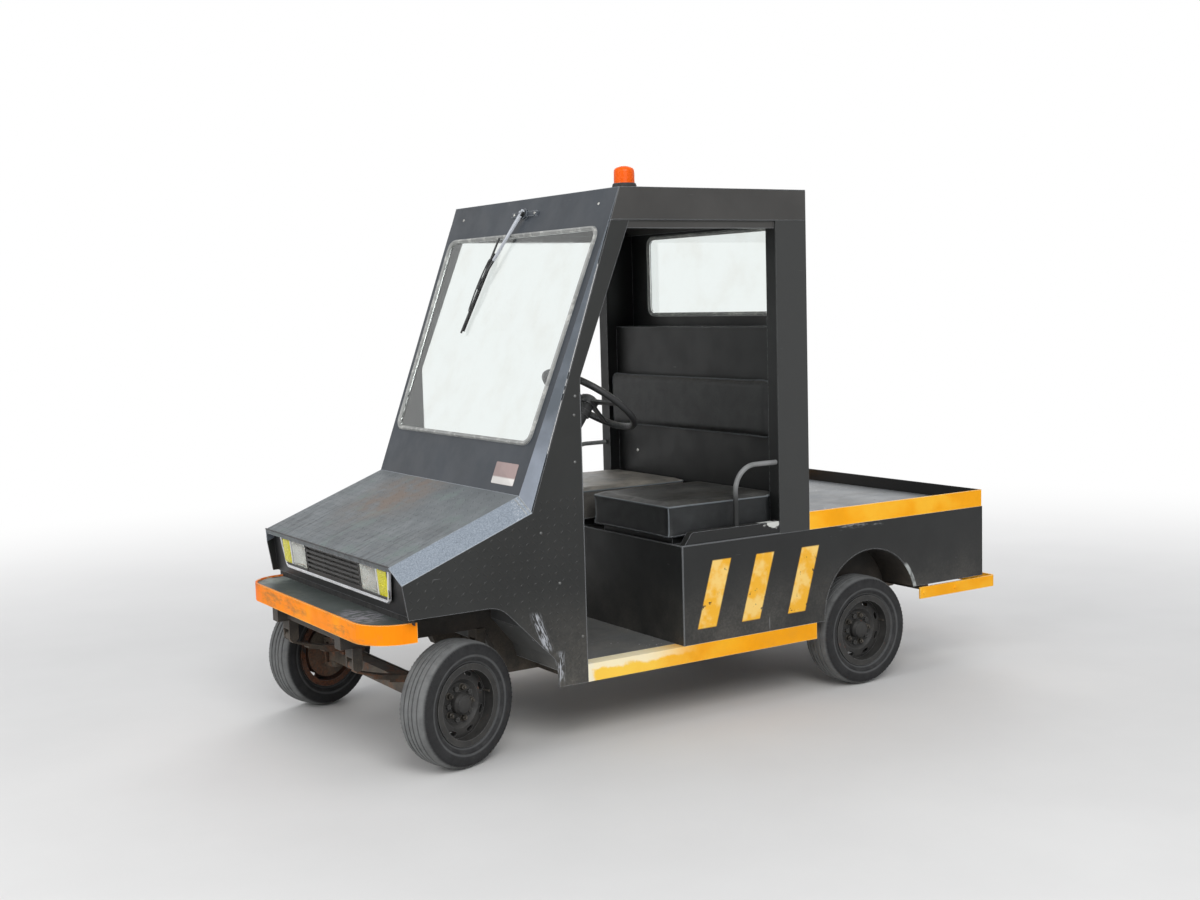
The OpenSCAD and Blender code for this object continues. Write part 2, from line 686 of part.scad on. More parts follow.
// Tyre about its own centre, outer face towards +Y, its beads inside the rim's flanges
module tyre() {
    h = tyre_w / 2;
    r = tyre_r;
    half = [[bead_r + gap, h - 16], [rim_r + 1, h - 16], [rim_r + 7, h - 8], [rim_r + 18, h - 2], [r - 42, h],
        [r - 22, h - 3], [r - 9, h - 12], [r - 3, h - 24], [r - 1, 34], [r - 7, 33], [r - 7, 29], [r - 1, 28],
        [r, 12], [r - 6, 11], [r - 6, 7], [r, 6]];
    low = [for (p = reversed(half)) [p[0], -p[1]]];
    color([0.07, 0.07, 0.07]) rotate([-90, 0, 0]) rotate_extrude($fn = 72) polygon(concat(half, low));
}

// Steel disc wheel with its brake drum, hub and nuts, about its own centre
module rim() {
    h = tyre_w / 2;
    b = bead_r;
    barrel = [[b - 6, 9 - h], [rim_r, 9 - h], [rim_r, 16 - h - gap], [b, 16 - h - gap], [b, h - 16 + gap],
        [rim_r, h - 16 + gap], [rim_r, h - 9], [b - 6, h - 9]];
    disc = [[b - 3, 2], [b - 3, 12], [b - 18, 16], [84, 18], [70, 6], [30, 6], [30, -2], [74, -2], [88, 9], [b - 18, 8]];
    drum = [[30, 0], [drum_r, 0], [drum_r, 5 - plate_in], [drum_r - 8, 5 - plate_in], [drum_r - 8, -8], [30, -8]];
    hub = [[spindle_r + run, 6 - plate_in], [38, 6 - plate_in], [38, 26], [30, 38], [0, 38], [0, 32], [spindle_r + run, 32]];
    color([0.1, 0.1, 0.1]) rotate([-90, 0, 0]) {
        difference() {
            union() {
                rotate_extrude($fn = 72) polygon(barrel);
                rotate_extrude($fn = 72) polygon(disc);
            }
            for (k = [0:hand_holes - 1]) rotate([0, 0, 360 * (k + 0.5) / hand_holes]) translate([104, 0, -20])
                linear_extrude(60) polygon(rounded([[-8, -17, 7.9], [8, -17, 7.9], [8, 17, 7.9], [-8, 17, 7.9]], 3));
        }
        rotate_extrude($fn = 72) polygon(drum);
        rotate_extrude() polygon(hub);
        for (k = [0:4]) rotate([0, 0, 72 * k]) translate([56, 0, 5]) cylinder(h = 14, r = 9, $fn = 6);
    }
}
module front_wheel(s) {
    steered(s) translate([axle_x, s * (front_track_y - tyre_w / 2), tyre_r]) mirror([0, s < 0 ? 1 : 0, 0]) children();
}
module rear_wheel(s) {
    translate([rear_x, s * (rear_track_y - tyre_w / 2), tyre_r]) mirror([0, s < 0 ? 1 : 0, 0]) children();
}

// Seat deck, box front, risers under the cushions and the low side lips
module seat_box() {
    lip = rounded([[post_x + gap, 0, 0], [box_x - 12, 0, 0], [box_x - 48, lip_up, 18], [post_x + gap, lip_up, 0]], 4);
    color([0.15, 0.15, 0.15]) {
        block([post_rear_x, -inner_y, deck_z - sheet], [box_x, inner_y, deck_z]);
        block([box_x - sheet, -inner_y, sill_top], [box_x, inner_y, deck_z - sheet]);
        both_sides() {
            block([cushion_rear + 30, cushion_y0 + 30, deck_z], [box_x - 10, cushion_y0 + cushion_w - 30, deck_z + riser_h]);
            translate([0, 0, deck_z]) slab_y(lip, inner_y - lip_w, inner_y);
        }
    }
}
module cushion() {
    x1 = cushion_rear + cushion_d;
    outline = rounded([[cushion_rear, 0, 20], [x1, 0, 20], [x1, cushion_t, 45], [cushion_rear, cushion_t, 20]], 4);
    translate([0, 0, deck_z + riser_h]) difference() {
        slab_y(outline, cushion_y0, cushion_y0 + cushion_w);
        block([cushion_rear - 1, post_y - 6, -1], [post_x + 6, post_y + 100, cushion_t + 1]);
    }
}
module driver_seat() { color([0.1, 0.1, 0.11]) cushion(); }
module passenger_seat() { color([0.3, 0.3, 0.3]) mirror([0, 1, 0]) cushion(); }
module backrest() {
    x0 = post_x - 55 + sheet;
    w = post_y - 5;
    color([0.12, 0.12, 0.13]) slab_x(rounded([[-w, back_z, 30], [w, back_z, 30],
        [w, back_z + back_h, 30], [-w, back_z + back_h, 30]]), x0, x0 + 45);
}

// Bent tube beside a seat, from the deck to the rear post
module hip_restraints() {
    bend = 95;
    foot = deck_z + lip_up;
    top = deck_z + hip_h;
    color([0.1, 0.1, 0.1]) both_sides() translate([0, inner_y - lip_w / 2, 0]) {
        translate([hip_x, 0, foot]) cylinder(h = top - bend - foot, r = hip_r);
        translate([hip_x - bend, 0, top - bend]) rotate([90, 0, 0]) rotate_extrude(angle = 90)
            translate([bend, 0]) circle(r = hip_r);
        translate([post_x, 0, top]) rotate([0, 90, 0]) cylinder(h = hip_x - bend - post_x, r = hip_r);
    }
}

// Side panel from the seat box to the tail, with the rear wheel's arch
module body_sides() {
    outline = [[box_x, sill_top], [box_x, deck_z], [tail_x, deck_z], [tail_x, tail_z], [rear_x, tail_z],
        [rear_x, sill_top]];
    color([0.1, 0.1, 0.1]) both_sides() translate([0, half_w, 0]) rotate([90, 0, 0]) linear_extrude(sheet)
        difference() {
            polygon(outline);
            translate([arch_x, arch_z]) circle(r = arch_r, $fn = 96);
        }
}

// Curved liners over the rear wheels, down to the sill in front and to the panel's edge behind
module wheel_wells() {
    r = arch_r + 5;
    color([0.08, 0.08, 0.08]) both_sides() translate([arch_x, inner_y - gap, arch_z]) rotate([90, 0, 0])
        linear_extrude(well_depth) difference() {
            circle(r = r, $fn = 96);
            circle(r = arch_r + 2, $fn = 96);
            translate([0, sill_top - arch_z - r]) square([r + 1, r]);
            translate([-r - 1, tail_z - arch_z - 2 * r]) square([r + 2, 2 * r]);
        }
}

// Box sills along the door openings
module sills() {
    color([0.95, 0.6, 0.1]) both_sides() difference() {
        block([post_rear_x - 30, post_y, sill_z], [door_x, half_w, sill_top]);
        block([post_rear_x - 31, post_y + sheet, sill_z + sheet], [door_x + 1, half_w - sheet, sill_top - sheet]);
    }
}

// Raised rails along the cargo deck's sides
module bed_rails() {
    color([0.95, 0.6, 0.1]) both_sides() {
        block([tail_x + sheet, rail_y, deck_z], [post_rear_x, half_w, rail_top]);
    }
}
module bed_floor() {
    color([0.45, 0.47, 0.48]) {
        block([tail_x + sheet, gap - rail_y, bed_z - sheet], [post_rear_x, rail_y - gap, bed_z]);
        for (x = joist_x) block([x, gap - rail_y, bed_z - sheet - joist_h], [x + 30, rail_y - gap, bed_z - sheet]);
    }
}
module tail_panel() {
    color([0.1, 0.1, 0.1]) difference() {
        block([tail_x, -half_w + sheet, tail_z], [tail_x + sheet, half_w - sheet, rail_top]);
        for (s = [-1, 1]) translate([tail_x - 1, s * tail_lamp_y, tail_lamp_z]) rotate([0, 90, 0])
            cylinder(h = sheet + 2, r = tail_lamp_r - 8);
    }
}
module tail_lamps() {
    color([0.75, 0.08, 0.05]) for (s = [-1, 1])
        translate([tail_x - 14, s * tail_lamp_y, tail_lamp_z]) rotate([0, 90, 0]) {
            cylinder(h = 14, r = tail_lamp_r);
            translate([0, 0, 14]) cylinder(h = sheet, r = tail_lamp_r - 8 - gap);
        }
}

// Bent plate round the nose, and the shelf inside it
function bumper_line(in) = rounded([[front_x - bumper_side, in - bumper_y, 0],
    [front_x - in, in - bumper_y, bumper_r - in], [front_x - in, bumper_y - in, bumper_r - in],
    [front_x - bumper_side, bumper_y - in, 0]], 10);
module front_bumper() {
    color([1, 0.62, 0.08]) translate([0, 0, bumper_z]) linear_extrude(bumper_h) difference() {
        polygon(bumper_line(0));
        polygon(concat([for (p = bumper_line(bumper_t)) p[0] < front_x - bumper_side + 1 ? [p[0] - 1, p[1]] : p]));
    }
}
module front_shelf() {
    color([0.14, 0.14, 0.14]) translate([0, 0, bumper_z + bumper_h - 14]) linear_extrude(8)
        polygon(bumper_line(bumper_t));
}
module rear_bumper() {
    r = rear_bumper_r;
    outer = [[rear_bumper_side - front_x, half_w, 0], [-front_x, half_w, r], [-front_x, -half_w, r],
        [rear_bumper_side - front_x, -half_w, 0]];
    t = bumper_t;
    inner = [[rear_bumper_side - front_x + 1, half_w - t, 0], [t - front_x, half_w - t, r - t],
        [t - front_x, t - half_w, r - t], [rear_bumper_side - front_x + 1, t - half_w, 0]];
    color([1, 0.62, 0.08]) translate([0, 0, rear_bumper_z]) linear_extrude(rear_bumper_h) difference() {
        polygon(rounded(outer, 10));
        polygon(rounded(inner, 10));
    }
}

// Two drilled ears and the post that carries them
module tow_hitch() {
    z0 = 235;
    x = 50 - front_x;
    color([0.2, 0.19, 0.18]) difference() {
        union() {
            for (z = [z0, z0 + hitch_h - 14]) {
                translate([x, 0, z]) cylinder(h = 14, r = 38);
                block([x, -38, z], [tail_x + sheet + 40, 38, z + 14]);
            }
            block([tail_x + sheet, -38, z0], [tail_x + sheet + 40, 38, frame_z + 8]);
        }
        translate([x, 0, z0 - 1]) cylinder(h = hitch_h + 2, r = hitch_r);
    }
}

module battery() {
    color([0.25, 0.27, 0.3]) block([tray_x + 20, -450, sill_top], [box_x - 60, 450, deck_z - 46]);
}

// Instrument shelf behind the windshield's foot
module dash() {
    z0 = hood_rear_z + 20;
    z1 = z0 + 108;
    x1 = glass_x(z1) - 14;
    side = rounded([[x1 - 160, z0, 8], [bulkhead_x - sheet, z0 - 70, 0], [bulkhead_x - sheet, z0 - 27, 0],
        [glass_x(z0) - 12, z0, 0], [x1, z1, 0], [x1 - 110, z1, 14], [x1 - 160, z0 + 60, 14]], 3);
    color([0.14, 0.14, 0.15]) slab_y(side, 40 - flat_y, flat_y - 40);
}

// Column from the bulkhead up to the steering wheel, with its gearbox at the foot
module on_column(d) {
    translate([wheel_x, driver_y, wheel_z]) rotate([0, tube_tilt + 90, 0]) translate([0, 0, d]) children();
}
module steering_column() {
    reach = (bulkhead_x - sheet - 1 - wheel_x) / sin(column_tilt) - 26 * tan(tube_tilt);
    color([0.1, 0.1, 0.1]) {
        on_column(60) cylinder(h = reach - 70, r = 24);
        on_column(45) cylinder(h = 20, r = 30);
        translate([bulkhead_x - sheet - 60, driver_y - 40, wheel_z - (bulkhead_x - wheel_x) / tan(column_tilt) - 50])
            cube([60, 80, 110]);
    }
}
module steering_wheel() {
    color([0.06, 0.06, 0.06]) translate([wheel_x, driver_y, wheel_z]) rotate([0, -column_tilt, 0]) {
        rotate_extrude($fn = 64) translate([wheel_rim_r - 13, 0]) circle(r = 13, $fn = 20);
        translate([0, 0, gap - 45]) cylinder(h = 24, r = 26);
        translate([0, 0, gap - 21]) cylinder(h = 26, r = 36);
        for (a = [90, 210, 330]) rotate([0, 0, a]) translate([0, 0, -10]) linear_extrude(8)
            polygon([[20, -18], [60, -13], [wheel_rim_r - 20, -11], [wheel_rim_r - 20, 11], [60, 13], [20, 18]]);
    }
}

// Accelerator and brake on hanging arms
module pedals() {
    x0 = bulkhead_x - sheet;
    color([0.15, 0.15, 0.15]) {
        block([x0 - 40, driver_y - 220, pedal_hinge_z], [x0, driver_y - 40, pedal_hinge_z + 30]);
        for (y = [driver_y - 180, driver_y - 80]) {
            slab_y([[x0 - 30, pedal_hinge_z + 10], [x0 - 14, pedal_hinge_z + 10], [x0 - 62, pedal_z + 20],
                [x0 - 78, pedal_z + 20]], y - 6, y + 6);
            slab_y([[x0 - 92, pedal_z + 60], [x0 - 84, pedal_z + 64], [x0 - 54, pedal_z + 4], [x0 - 62, pedal_z]],
                y - 34, y + 34);
        }
    }
}

module tyre_fl() { front_wheel(1) tyre(); }
module tyre_fr() { front_wheel(-1) tyre(); }
module tyre_rl() { rear_wheel(1) tyre(); }
module tyre_rr() { rear_wheel(-1) tyre(); }
module rim_fl() { front_wheel(1) rim(); }
module rim_fr() { front_wheel(-1) rim(); }
module rim_rl() { rear_wheel(1) rim(); }
module rim_rr() { rear_wheel(-1) rim(); }

frame_rails();
frame_members();
spring_hangers();
floor_pan();
front_sides();
hood();
nose_panel();
lamp_bezel();
headlamps();
turn_lamps();
windshield_frame();
gaskets();
panes();
wiper();
roof();
cab_rear();
beacon_base();
beacon_lens();
dash();
steering_column();
steering_wheel();
pedals();
seat_box();
driver_seat();
passenger_seat();
backrest();
hip_restraints();
body_sides();
wheel_wells();
sills();
bed_rails();
bed_floor();
tail_panel();
tail_lamps();
front_bumper();
front_shelf();
rear_bumper();
tow_hitch();
battery();
front_axle();
knuckle_left();
knuckle_right();
tie_rod();
rear_axle();
tyre_fl();
rim_fl();
tyre_fr();
rim_fr();
tyre_rl();
rim_rl();
tyre_rr();
rim_rr();
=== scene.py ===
import math

import bmesh
import bpy
from mathutils import Matrix, Vector
from mathutils.bvhtree import BVHTree
from mathutils.kdtree import KDTree
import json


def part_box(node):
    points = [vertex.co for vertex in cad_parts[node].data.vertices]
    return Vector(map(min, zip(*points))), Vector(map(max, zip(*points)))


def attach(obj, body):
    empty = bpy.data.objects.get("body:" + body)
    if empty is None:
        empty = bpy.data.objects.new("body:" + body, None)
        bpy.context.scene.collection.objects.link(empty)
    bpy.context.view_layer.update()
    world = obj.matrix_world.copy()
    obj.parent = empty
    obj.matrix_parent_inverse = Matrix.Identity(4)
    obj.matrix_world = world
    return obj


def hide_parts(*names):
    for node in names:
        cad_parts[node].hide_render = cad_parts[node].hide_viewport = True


# A small black baggage tug with an open two-seat cab: its paint, rubber, glass, padded seats and trim.
# Metres. +X is forward, +Y is the driver's left, +Z is up. A size written in millimetres is times MM.
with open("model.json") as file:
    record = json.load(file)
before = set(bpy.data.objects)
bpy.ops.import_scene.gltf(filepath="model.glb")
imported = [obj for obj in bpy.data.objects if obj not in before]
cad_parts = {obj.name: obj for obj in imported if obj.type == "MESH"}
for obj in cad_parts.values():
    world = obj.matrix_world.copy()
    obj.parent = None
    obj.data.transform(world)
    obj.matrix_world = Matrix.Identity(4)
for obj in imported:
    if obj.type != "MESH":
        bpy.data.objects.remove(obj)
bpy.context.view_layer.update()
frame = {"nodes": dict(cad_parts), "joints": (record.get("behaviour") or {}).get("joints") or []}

MM = 0.001
AHEAD = Vector((1, 0, 0))
LEFT = Vector((0, 1, 0))
UP = Vector((0, 0, 1))

# Body
HALF_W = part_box("hood")[1].y
SHEET = 5 * MM
DOOR_X = 0.623
BOX_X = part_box("seat_box")[1].x
POST_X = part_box("cab_rear")[1].x
POST_REAR_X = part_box("cab_rear")[0].x
TAIL_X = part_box("tail_panel")[0].x
DECK_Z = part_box("seat_box")[1].z - 48 * MM
BED_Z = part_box("bed_floor")[1].z
SILL_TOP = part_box("sills")[1].z
SILL_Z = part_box("sills")[0].z
BUMPER_Z = 338 * MM
TAIL_LAMP_Y = 500 * MM
TAIL_LAMP_Z = 560 * MM

# Hood, with a bevel down each side, and the roof's front edge
HOOD_FRONT = Vector((1.354, 0, 0.720))
HOOD_REAR = Vector((0.853, 0, 0.912))
ROOF_FRONT = Vector((0.437, 0, 1.972))
BEVEL_W = 52 * MM
BEVEL_H = 60 * MM
FLAT_Y = HALF_W - BEVEL_W

# Nose: its lamp windows and grille, measured down from its top and out from its middle
NOSE_TOP = Vector((1.311, 0, 0.729))
NOSE_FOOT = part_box("nose_panel")[0].z
NOSE_TILT = math.radians(5.8)
WINDOW_TOP = 36 * MM
WINDOW_H = 92 * MM
BEAM_INNER = 250 * MM
BEAM_OUTER = 390 * MM
TURN_INNER = 400 * MM
TURN_OUTER = 476 * MM
DIVIDER_X = 395 * MM
GRILLE_TOP = 54 * MM
GRILLE_PITCH = 18 * MM
GRILLE_HALF = 236 * MM

# Rear arches and wheel wells
ARCH = Vector((-0.727, 0, 0.308))
ARCH_R = 245 * MM
WELL_Y = 433 * MM
WELL_FOOT = 55 * MM

# Bars on the side panels
BAR_W = 86 * MM
BAR_MIDDLES = (95.5 * MM, -112.5 * MM, -337.5 * MM)
BAR_FOOT = 350 * MM
BAR_HEAD = 600 * MM
BAR_LEAN = -0.30

# Windshield, wiper and cowl label, measured down from the roof's front edge, and the rear window
PANE_TOP = 144 * MM
PANE_RUN = 817 * MM
PANE_TOP_HALF = 570 * MM
PANE_FOOT_HALF = 538 * MM
SPINDLE_DOWN = 66 * MM
WIPER_ARM = 335 * MM
WIPER_REST = math.radians(30)
BLADE_TURN = math.radians(19)
LABEL_OUT = 428 * MM
LABEL_DOWN = 1070 * MM
LABEL_FOOT_Z = 963 * MM
REAR_PANE_W = 872 * MM
REAR_PANE_H = 348 * MM
REAR_PANE_Z = 1498 * MM

# Cab and beacon
DRIVER_Y = 300 * MM
WHEEL_HUB = Vector((0.383, DRIVER_Y, 1.205))
COLUMN_TILT = math.radians(36)
GRIPS = 44
GRIP_R = 177 * MM
PEDAL_YS = (DRIVER_Y - 180 * MM, DRIVER_Y - 80 * MM)
PEDAL_Z = 441.5 * MM
BOARD_BOLT_Y = 413 * MM
BOARD_BOLT_Z = 913 * MM
BEACON = Vector((0.350, 0.520, 1.972))

# Wheels
TYRE_STEPS = 84
SHOULDER_RIBS = 80
NUTS = 5
NUT_CIRCLE_R = 56 * MM
VALVE_R = 119 * MM

# Camera and floor
LENS = 45.13
EYE = Vector((3.393, 5.060, 1.582))
EYE_RIGHT = Vector((-0.84023, 0.54154, -0.02749))
EYE_UP = Vector((-0.07720, -0.06929, 0.99460))
FLOOR_NEAR = 1.7
FLOOR_FAR = 7.0


# Places: each is a frame whose local Z points out of the surface

def basis(origin, x, y):
    z = x.cross(y)
    return Matrix((
        (x.x, y.x, z.x, origin.x),
        (x.y, y.y, z.y, origin.y),
        (x.z, y.z, z.z, origin.z),
        (0, 0, 0, 1)))


def across(origin, tilt):
    """A plane across the tug: local X to the right, Y down the plane, Z forward out of it."""
    return basis(origin, -LEFT, Vector((math.sin(tilt), 0, -math.cos(tilt))))


hood_rise = (HOOD_REAR - HOOD_FRONT).normalized()
HOOD_RUN = (HOOD_REAR - HOOD_FRONT).length
GLASS_TILT = math.atan2(HOOD_REAR.x - ROOF_FRONT.x, ROOF_FRONT.z - HOOD_REAR.z)
ON_GLASS = across(ROOF_FRONT, GLASS_TILT)
ON_NOSE = across(NOSE_TOP, -NOSE_TILT)
ON_HOOD = basis(HOOD_FRONT, hood_rise, -LEFT)
ON_LEFT = basis(Vector((0, HALF_W, 0)), -AHEAD, UP)
ON_RIGHT = basis(Vector((0, -HALF_W, 0)), AHEAD, UP)
ON_TAIL = basis(Vector((TAIL_X, 0, 0)), -LEFT, UP)


def at(x, y, z):
    """A step within a place, or a level place of the tug with its local X forward."""
    return Matrix.Translation((x, y, z))


def spun(angle):
    """A turn about a place's own Z."""
    return Matrix.Rotation(angle, 4, "Z")


def on_side(side, x, z):
    """A place on a body side, its local Y up."""
    place = ON_LEFT if side > 0 else ON_RIGHT
    return place @ at(-side * x, z, 0)


def wheel_place(body):
    """A wheel's frame: its centre, with local Z out of the tug along the axle."""
    joint = next(j for j in frame["joints"] if j["child"] == body)
    centre = Vector(joint["pos_m"])
    out = Vector(joint["axis"]) * (1 if centre.y > 0 else -1)
    return basis(centre, UP.cross(out).normalized(), UP)


# Outlines and shapes: each returns its points and faces

def mm(*rows):
    """Rows of sizes in millimetres, in the scene's metres."""
    return [tuple(value * MM for value in row) for row in rows]


def vectors(*rows):
    return [Vector(row) for row in rows]


def rounded(corners, steps=5):
    """Corners (x, y, radius), each radius turned into an arc."""
    line = []
    count = len(corners)
    for i, (x, y, r) in enumerate(corners):
        p = Vector((x, y))
        u = (Vector(corners[i - 1][:2]) - p).normalized()
        v = (Vector(corners[(i + 1) % count][:2]) - p).normalized()
        if r <= 0:
            line.append(p)
            continue
        half = math.acos(max(-1, min(1, u.dot(v)))) / 2
        mid = p + (u + v).normalized() * (r / math.sin(half))
        start = p + u * (r / math.tan(half)) - mid
        turn = (math.pi - 2 * half) * (-1 if u.x * v.y - u.y * v.x > 0 else 1)
        for k in range(steps + 1):
            a = turn * k / steps
            cos, sin = math.cos(a), math.sin(a)
            line.append(mid + Vector((start.x * cos - start.y * sin, start.x * sin + start.y * cos)))
    return line


def box_line(w, h, r, steps=4):
    return rounded([(-w / 2, -h / 2, r), (w / 2, -h / 2, r), (w / 2, h / 2, r), (-w / 2, h / 2, r)], steps)


def drawn_in(line, d):
    """The outline moved inward by d, for an outline that runs anticlockwise."""
    out = []
    count = len(line)
    for i, p in enumerate(line):
        a = (p - line[i - 1]).normalized()
        b = (line[(i + 1) % count] - p).normalized()
        n = Vector((-a.y - b.y, a.x + b.x))
        if n.length < 1e-9:
            out.append(p.copy())
            continue
        n.normalize()
        cos = max(0.4, n.dot(Vector((-a.y, a.x))))
        out.append(p + n * (d / cos))
    return out


def anticlockwise(line):
    area = sum(a.x * b.y - a.y * b.x for a, b in zip(line, line[1:] + line[:1]))
    return line if area > 0 else line[::-1]


def ringed(rings, looped=False):
    """Skins rings that have the same number of points, capped at the ends or joined in a loop."""
    verts = [Vector(p) for ring in rings for p in ring]
    count = len(rings)
    n = len(rings[0])
    faces = []
    for k in range(count if looped else count - 1):
        m = (k + 1) % count
        for i in range(n):
            j = (i + 1) % n
            faces.append((k * n + i, k * n + j, m * n + j, m * n + i))
    if not looped:
        faces.append(tuple(reversed(range(n))))
        faces.append(tuple((count - 1) * n + i for i in range(n)))
    return verts, faces


def plate(line, z0, z1, edge=0.0):
    """A flat piece from an outline, its outer edges eased by a chamfer."""
    line = anticlockwise([Vector(p) for p in line])
    levels = [(0, z0), (0, z1 - edge)] if edge else [(0, z0), (0, z1)]
    if edge:
        levels += [(edge * 0.35, z1 - edge * 0.35), (edge, z1)]
    rings = [[(p.x, p.y, z) for p in (drawn_in(line, d) if d else line)] for d, z in levels]
    return ringed(rings)


def turned(profile, steps=24):
    """A turned piece about local Z from a profile of (radius, height)."""
    verts = []
    faces = []
    rings = []
    for r, z in profile:
        if r < 1e-7:
            rings.append([len(verts)])
            verts.append(Vector((0, 0, z)))
            continue
        rings.append(list(range(len(verts), len(verts) + steps)))
        for k in range(steps):
            a = math.tau * k / steps
            verts.append(Vector((r * math.cos(a), r * math.sin(a), z)))
    for lo, hi in zip(rings, rings[1:]):
        for k in range(steps):
            j = (k + 1) % steps
            if len(lo) == 1 and len(hi) > 1:
                faces.append((lo[0], hi[j], hi[k]))
            elif len(hi) == 1 and len(lo) > 1:
                faces.append((lo[k], lo[j], hi[0]))
            elif len(lo) > 1:
                faces.append((lo[k], lo[j], hi[j], hi[k]))
    return verts, faces


def turned_ring(profile, steps=64):
    """A ring about local Z from a closed profile of (radius, height)."""
    turns = [math.tau * k / steps for k in range(steps)]
    return ringed([[(r * math.cos(a), r * math.sin(a), z) for r, z in profile] for a in turns], looped=True)


def swept(path, section, closed=False, up=UP):
    """A section (x across, y along up) carried along a path, kept square to it."""
    rings = []
    n = len(path)
    for i, p in enumerate(path):
        ahead = path[(i + 1) % n] if closed or i < n - 1 else p
        behind = path[i - 1] if closed or i > 0 else p
        along = (ahead - behind).normalized()
        side = along.cross(up)
        side = side.normalized() if side.length > 1e-6 else Vector((0, 1, 0))
        over = side.cross(along)
        rings.append([p + side * a + over * b for a, b in section])
    return ringed(rings, looped=closed)


def rod(path, r, sides=8, **run):
    """A round rod along a path."""
    turns = [math.tau * k / sides for k in range(sides)]
    return swept(path, [(r * math.cos(a), r * math.sin(a)) for a in turns], **run)


def slab(w, h, r, z0, z1, edge, steps=4):
    """A round-cornered plate with eased edges, its sizes in millimetres."""
    return plate(box_line(w * MM, h * MM, r * MM, steps), z0 * MM, z1 * MM, edge * MM)


def hex_head(size, height):
    """A hexagon head with its chamfer, on a washer."""
    washer = turned([(0, 0), (size * 0.92, 0), (size * 0.95, height * 0.12), (size * 0.9, height * 0.25),
        (0, height * 0.25)], 20)
    head = turned([(size * 0.56, height * 0.25), (size * 0.58, height * 0.85), (size * 0.48, height),
        (0, height)], 6)
    return join(washer, head)


def dome_head(r, height):
    """A button head or rivet."""
    return turned([(r, 0), (r * 0.96, height * 0.35), (r * 0.75, height * 0.78), (r * 0.4, height * 0.97),
        (0, height)], 14)


def slot_head(r, height):
    """A pan-head screw with a flat recess."""
    return turned([(r, 0), (r, height * 0.5), (r * 0.8, height * 0.95), (r * 0.42, height),
        (r * 0.34, height * 0.55), (0, height * 0.5)], 14)


def join(*shapes):
    verts = []
    faces = []
    for vs, fs in shapes:
        base = len(verts)
        verts += vs
        faces += [tuple(base + i for i in f) for f in fs]
    return verts, faces


def placed(shape, place):
    verts, faces = shape
    moved = [place @ Vector(v) for v in verts]
    if place.determinant() < 0:
        faces = [tuple(reversed(f)) for f in faces]
    return moved, faces


def spread(shape, places):
    """Copies of a shape at several places."""
    return join(*(placed(shape, place) for place in places))


def mirrored(shape):
    return placed(shape, Matrix.Diagonal((1, -1, 1, 1)))


def both_sides(shape):
    return join(shape, mirrored(shape))


def piece(name, shape, finish, body="chassis", smooth=32, place=None):
    """One piece of the tug from its points and faces, in the finish of that name."""
    verts, faces = shape
    mesh = bpy.data.meshes.new(name)
    mesh.from_pydata([tuple(v) for v in verts], [], faces)
    tidy = bmesh.new()
    tidy.from_mesh(mesh)
    bmesh.ops.recalc_face_normals(tidy, faces=tidy.faces)
    tidy.to_mesh(mesh)
    tidy.free()
    mesh.polygons.foreach_set("use_smooth", [True] * len(mesh.polygons))
    mesh.set_sharp_from_angle(angle=math.radians(smooth))
    mesh.materials.append(paint[finish])
    obj = bpy.data.objects.new(name, mesh)
    bpy.context.scene.collection.objects.link(obj)
    if place is not None:
        obj.matrix_world = place
    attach(obj, body)
    return obj


# Finishes: shader groups that several materials share, then a small kit that lays them over a paint

def shade(r, g, b):
    """A colour as seen on screen, 0 to 255, in the scene's own units."""
    line = [c / 255 for c in (r, g, b)]
    return tuple(c / 12.92 if c <= 0.04045 else ((c + 0.055) / 1.055) ** 2.4 for c in line) + (1.0,)


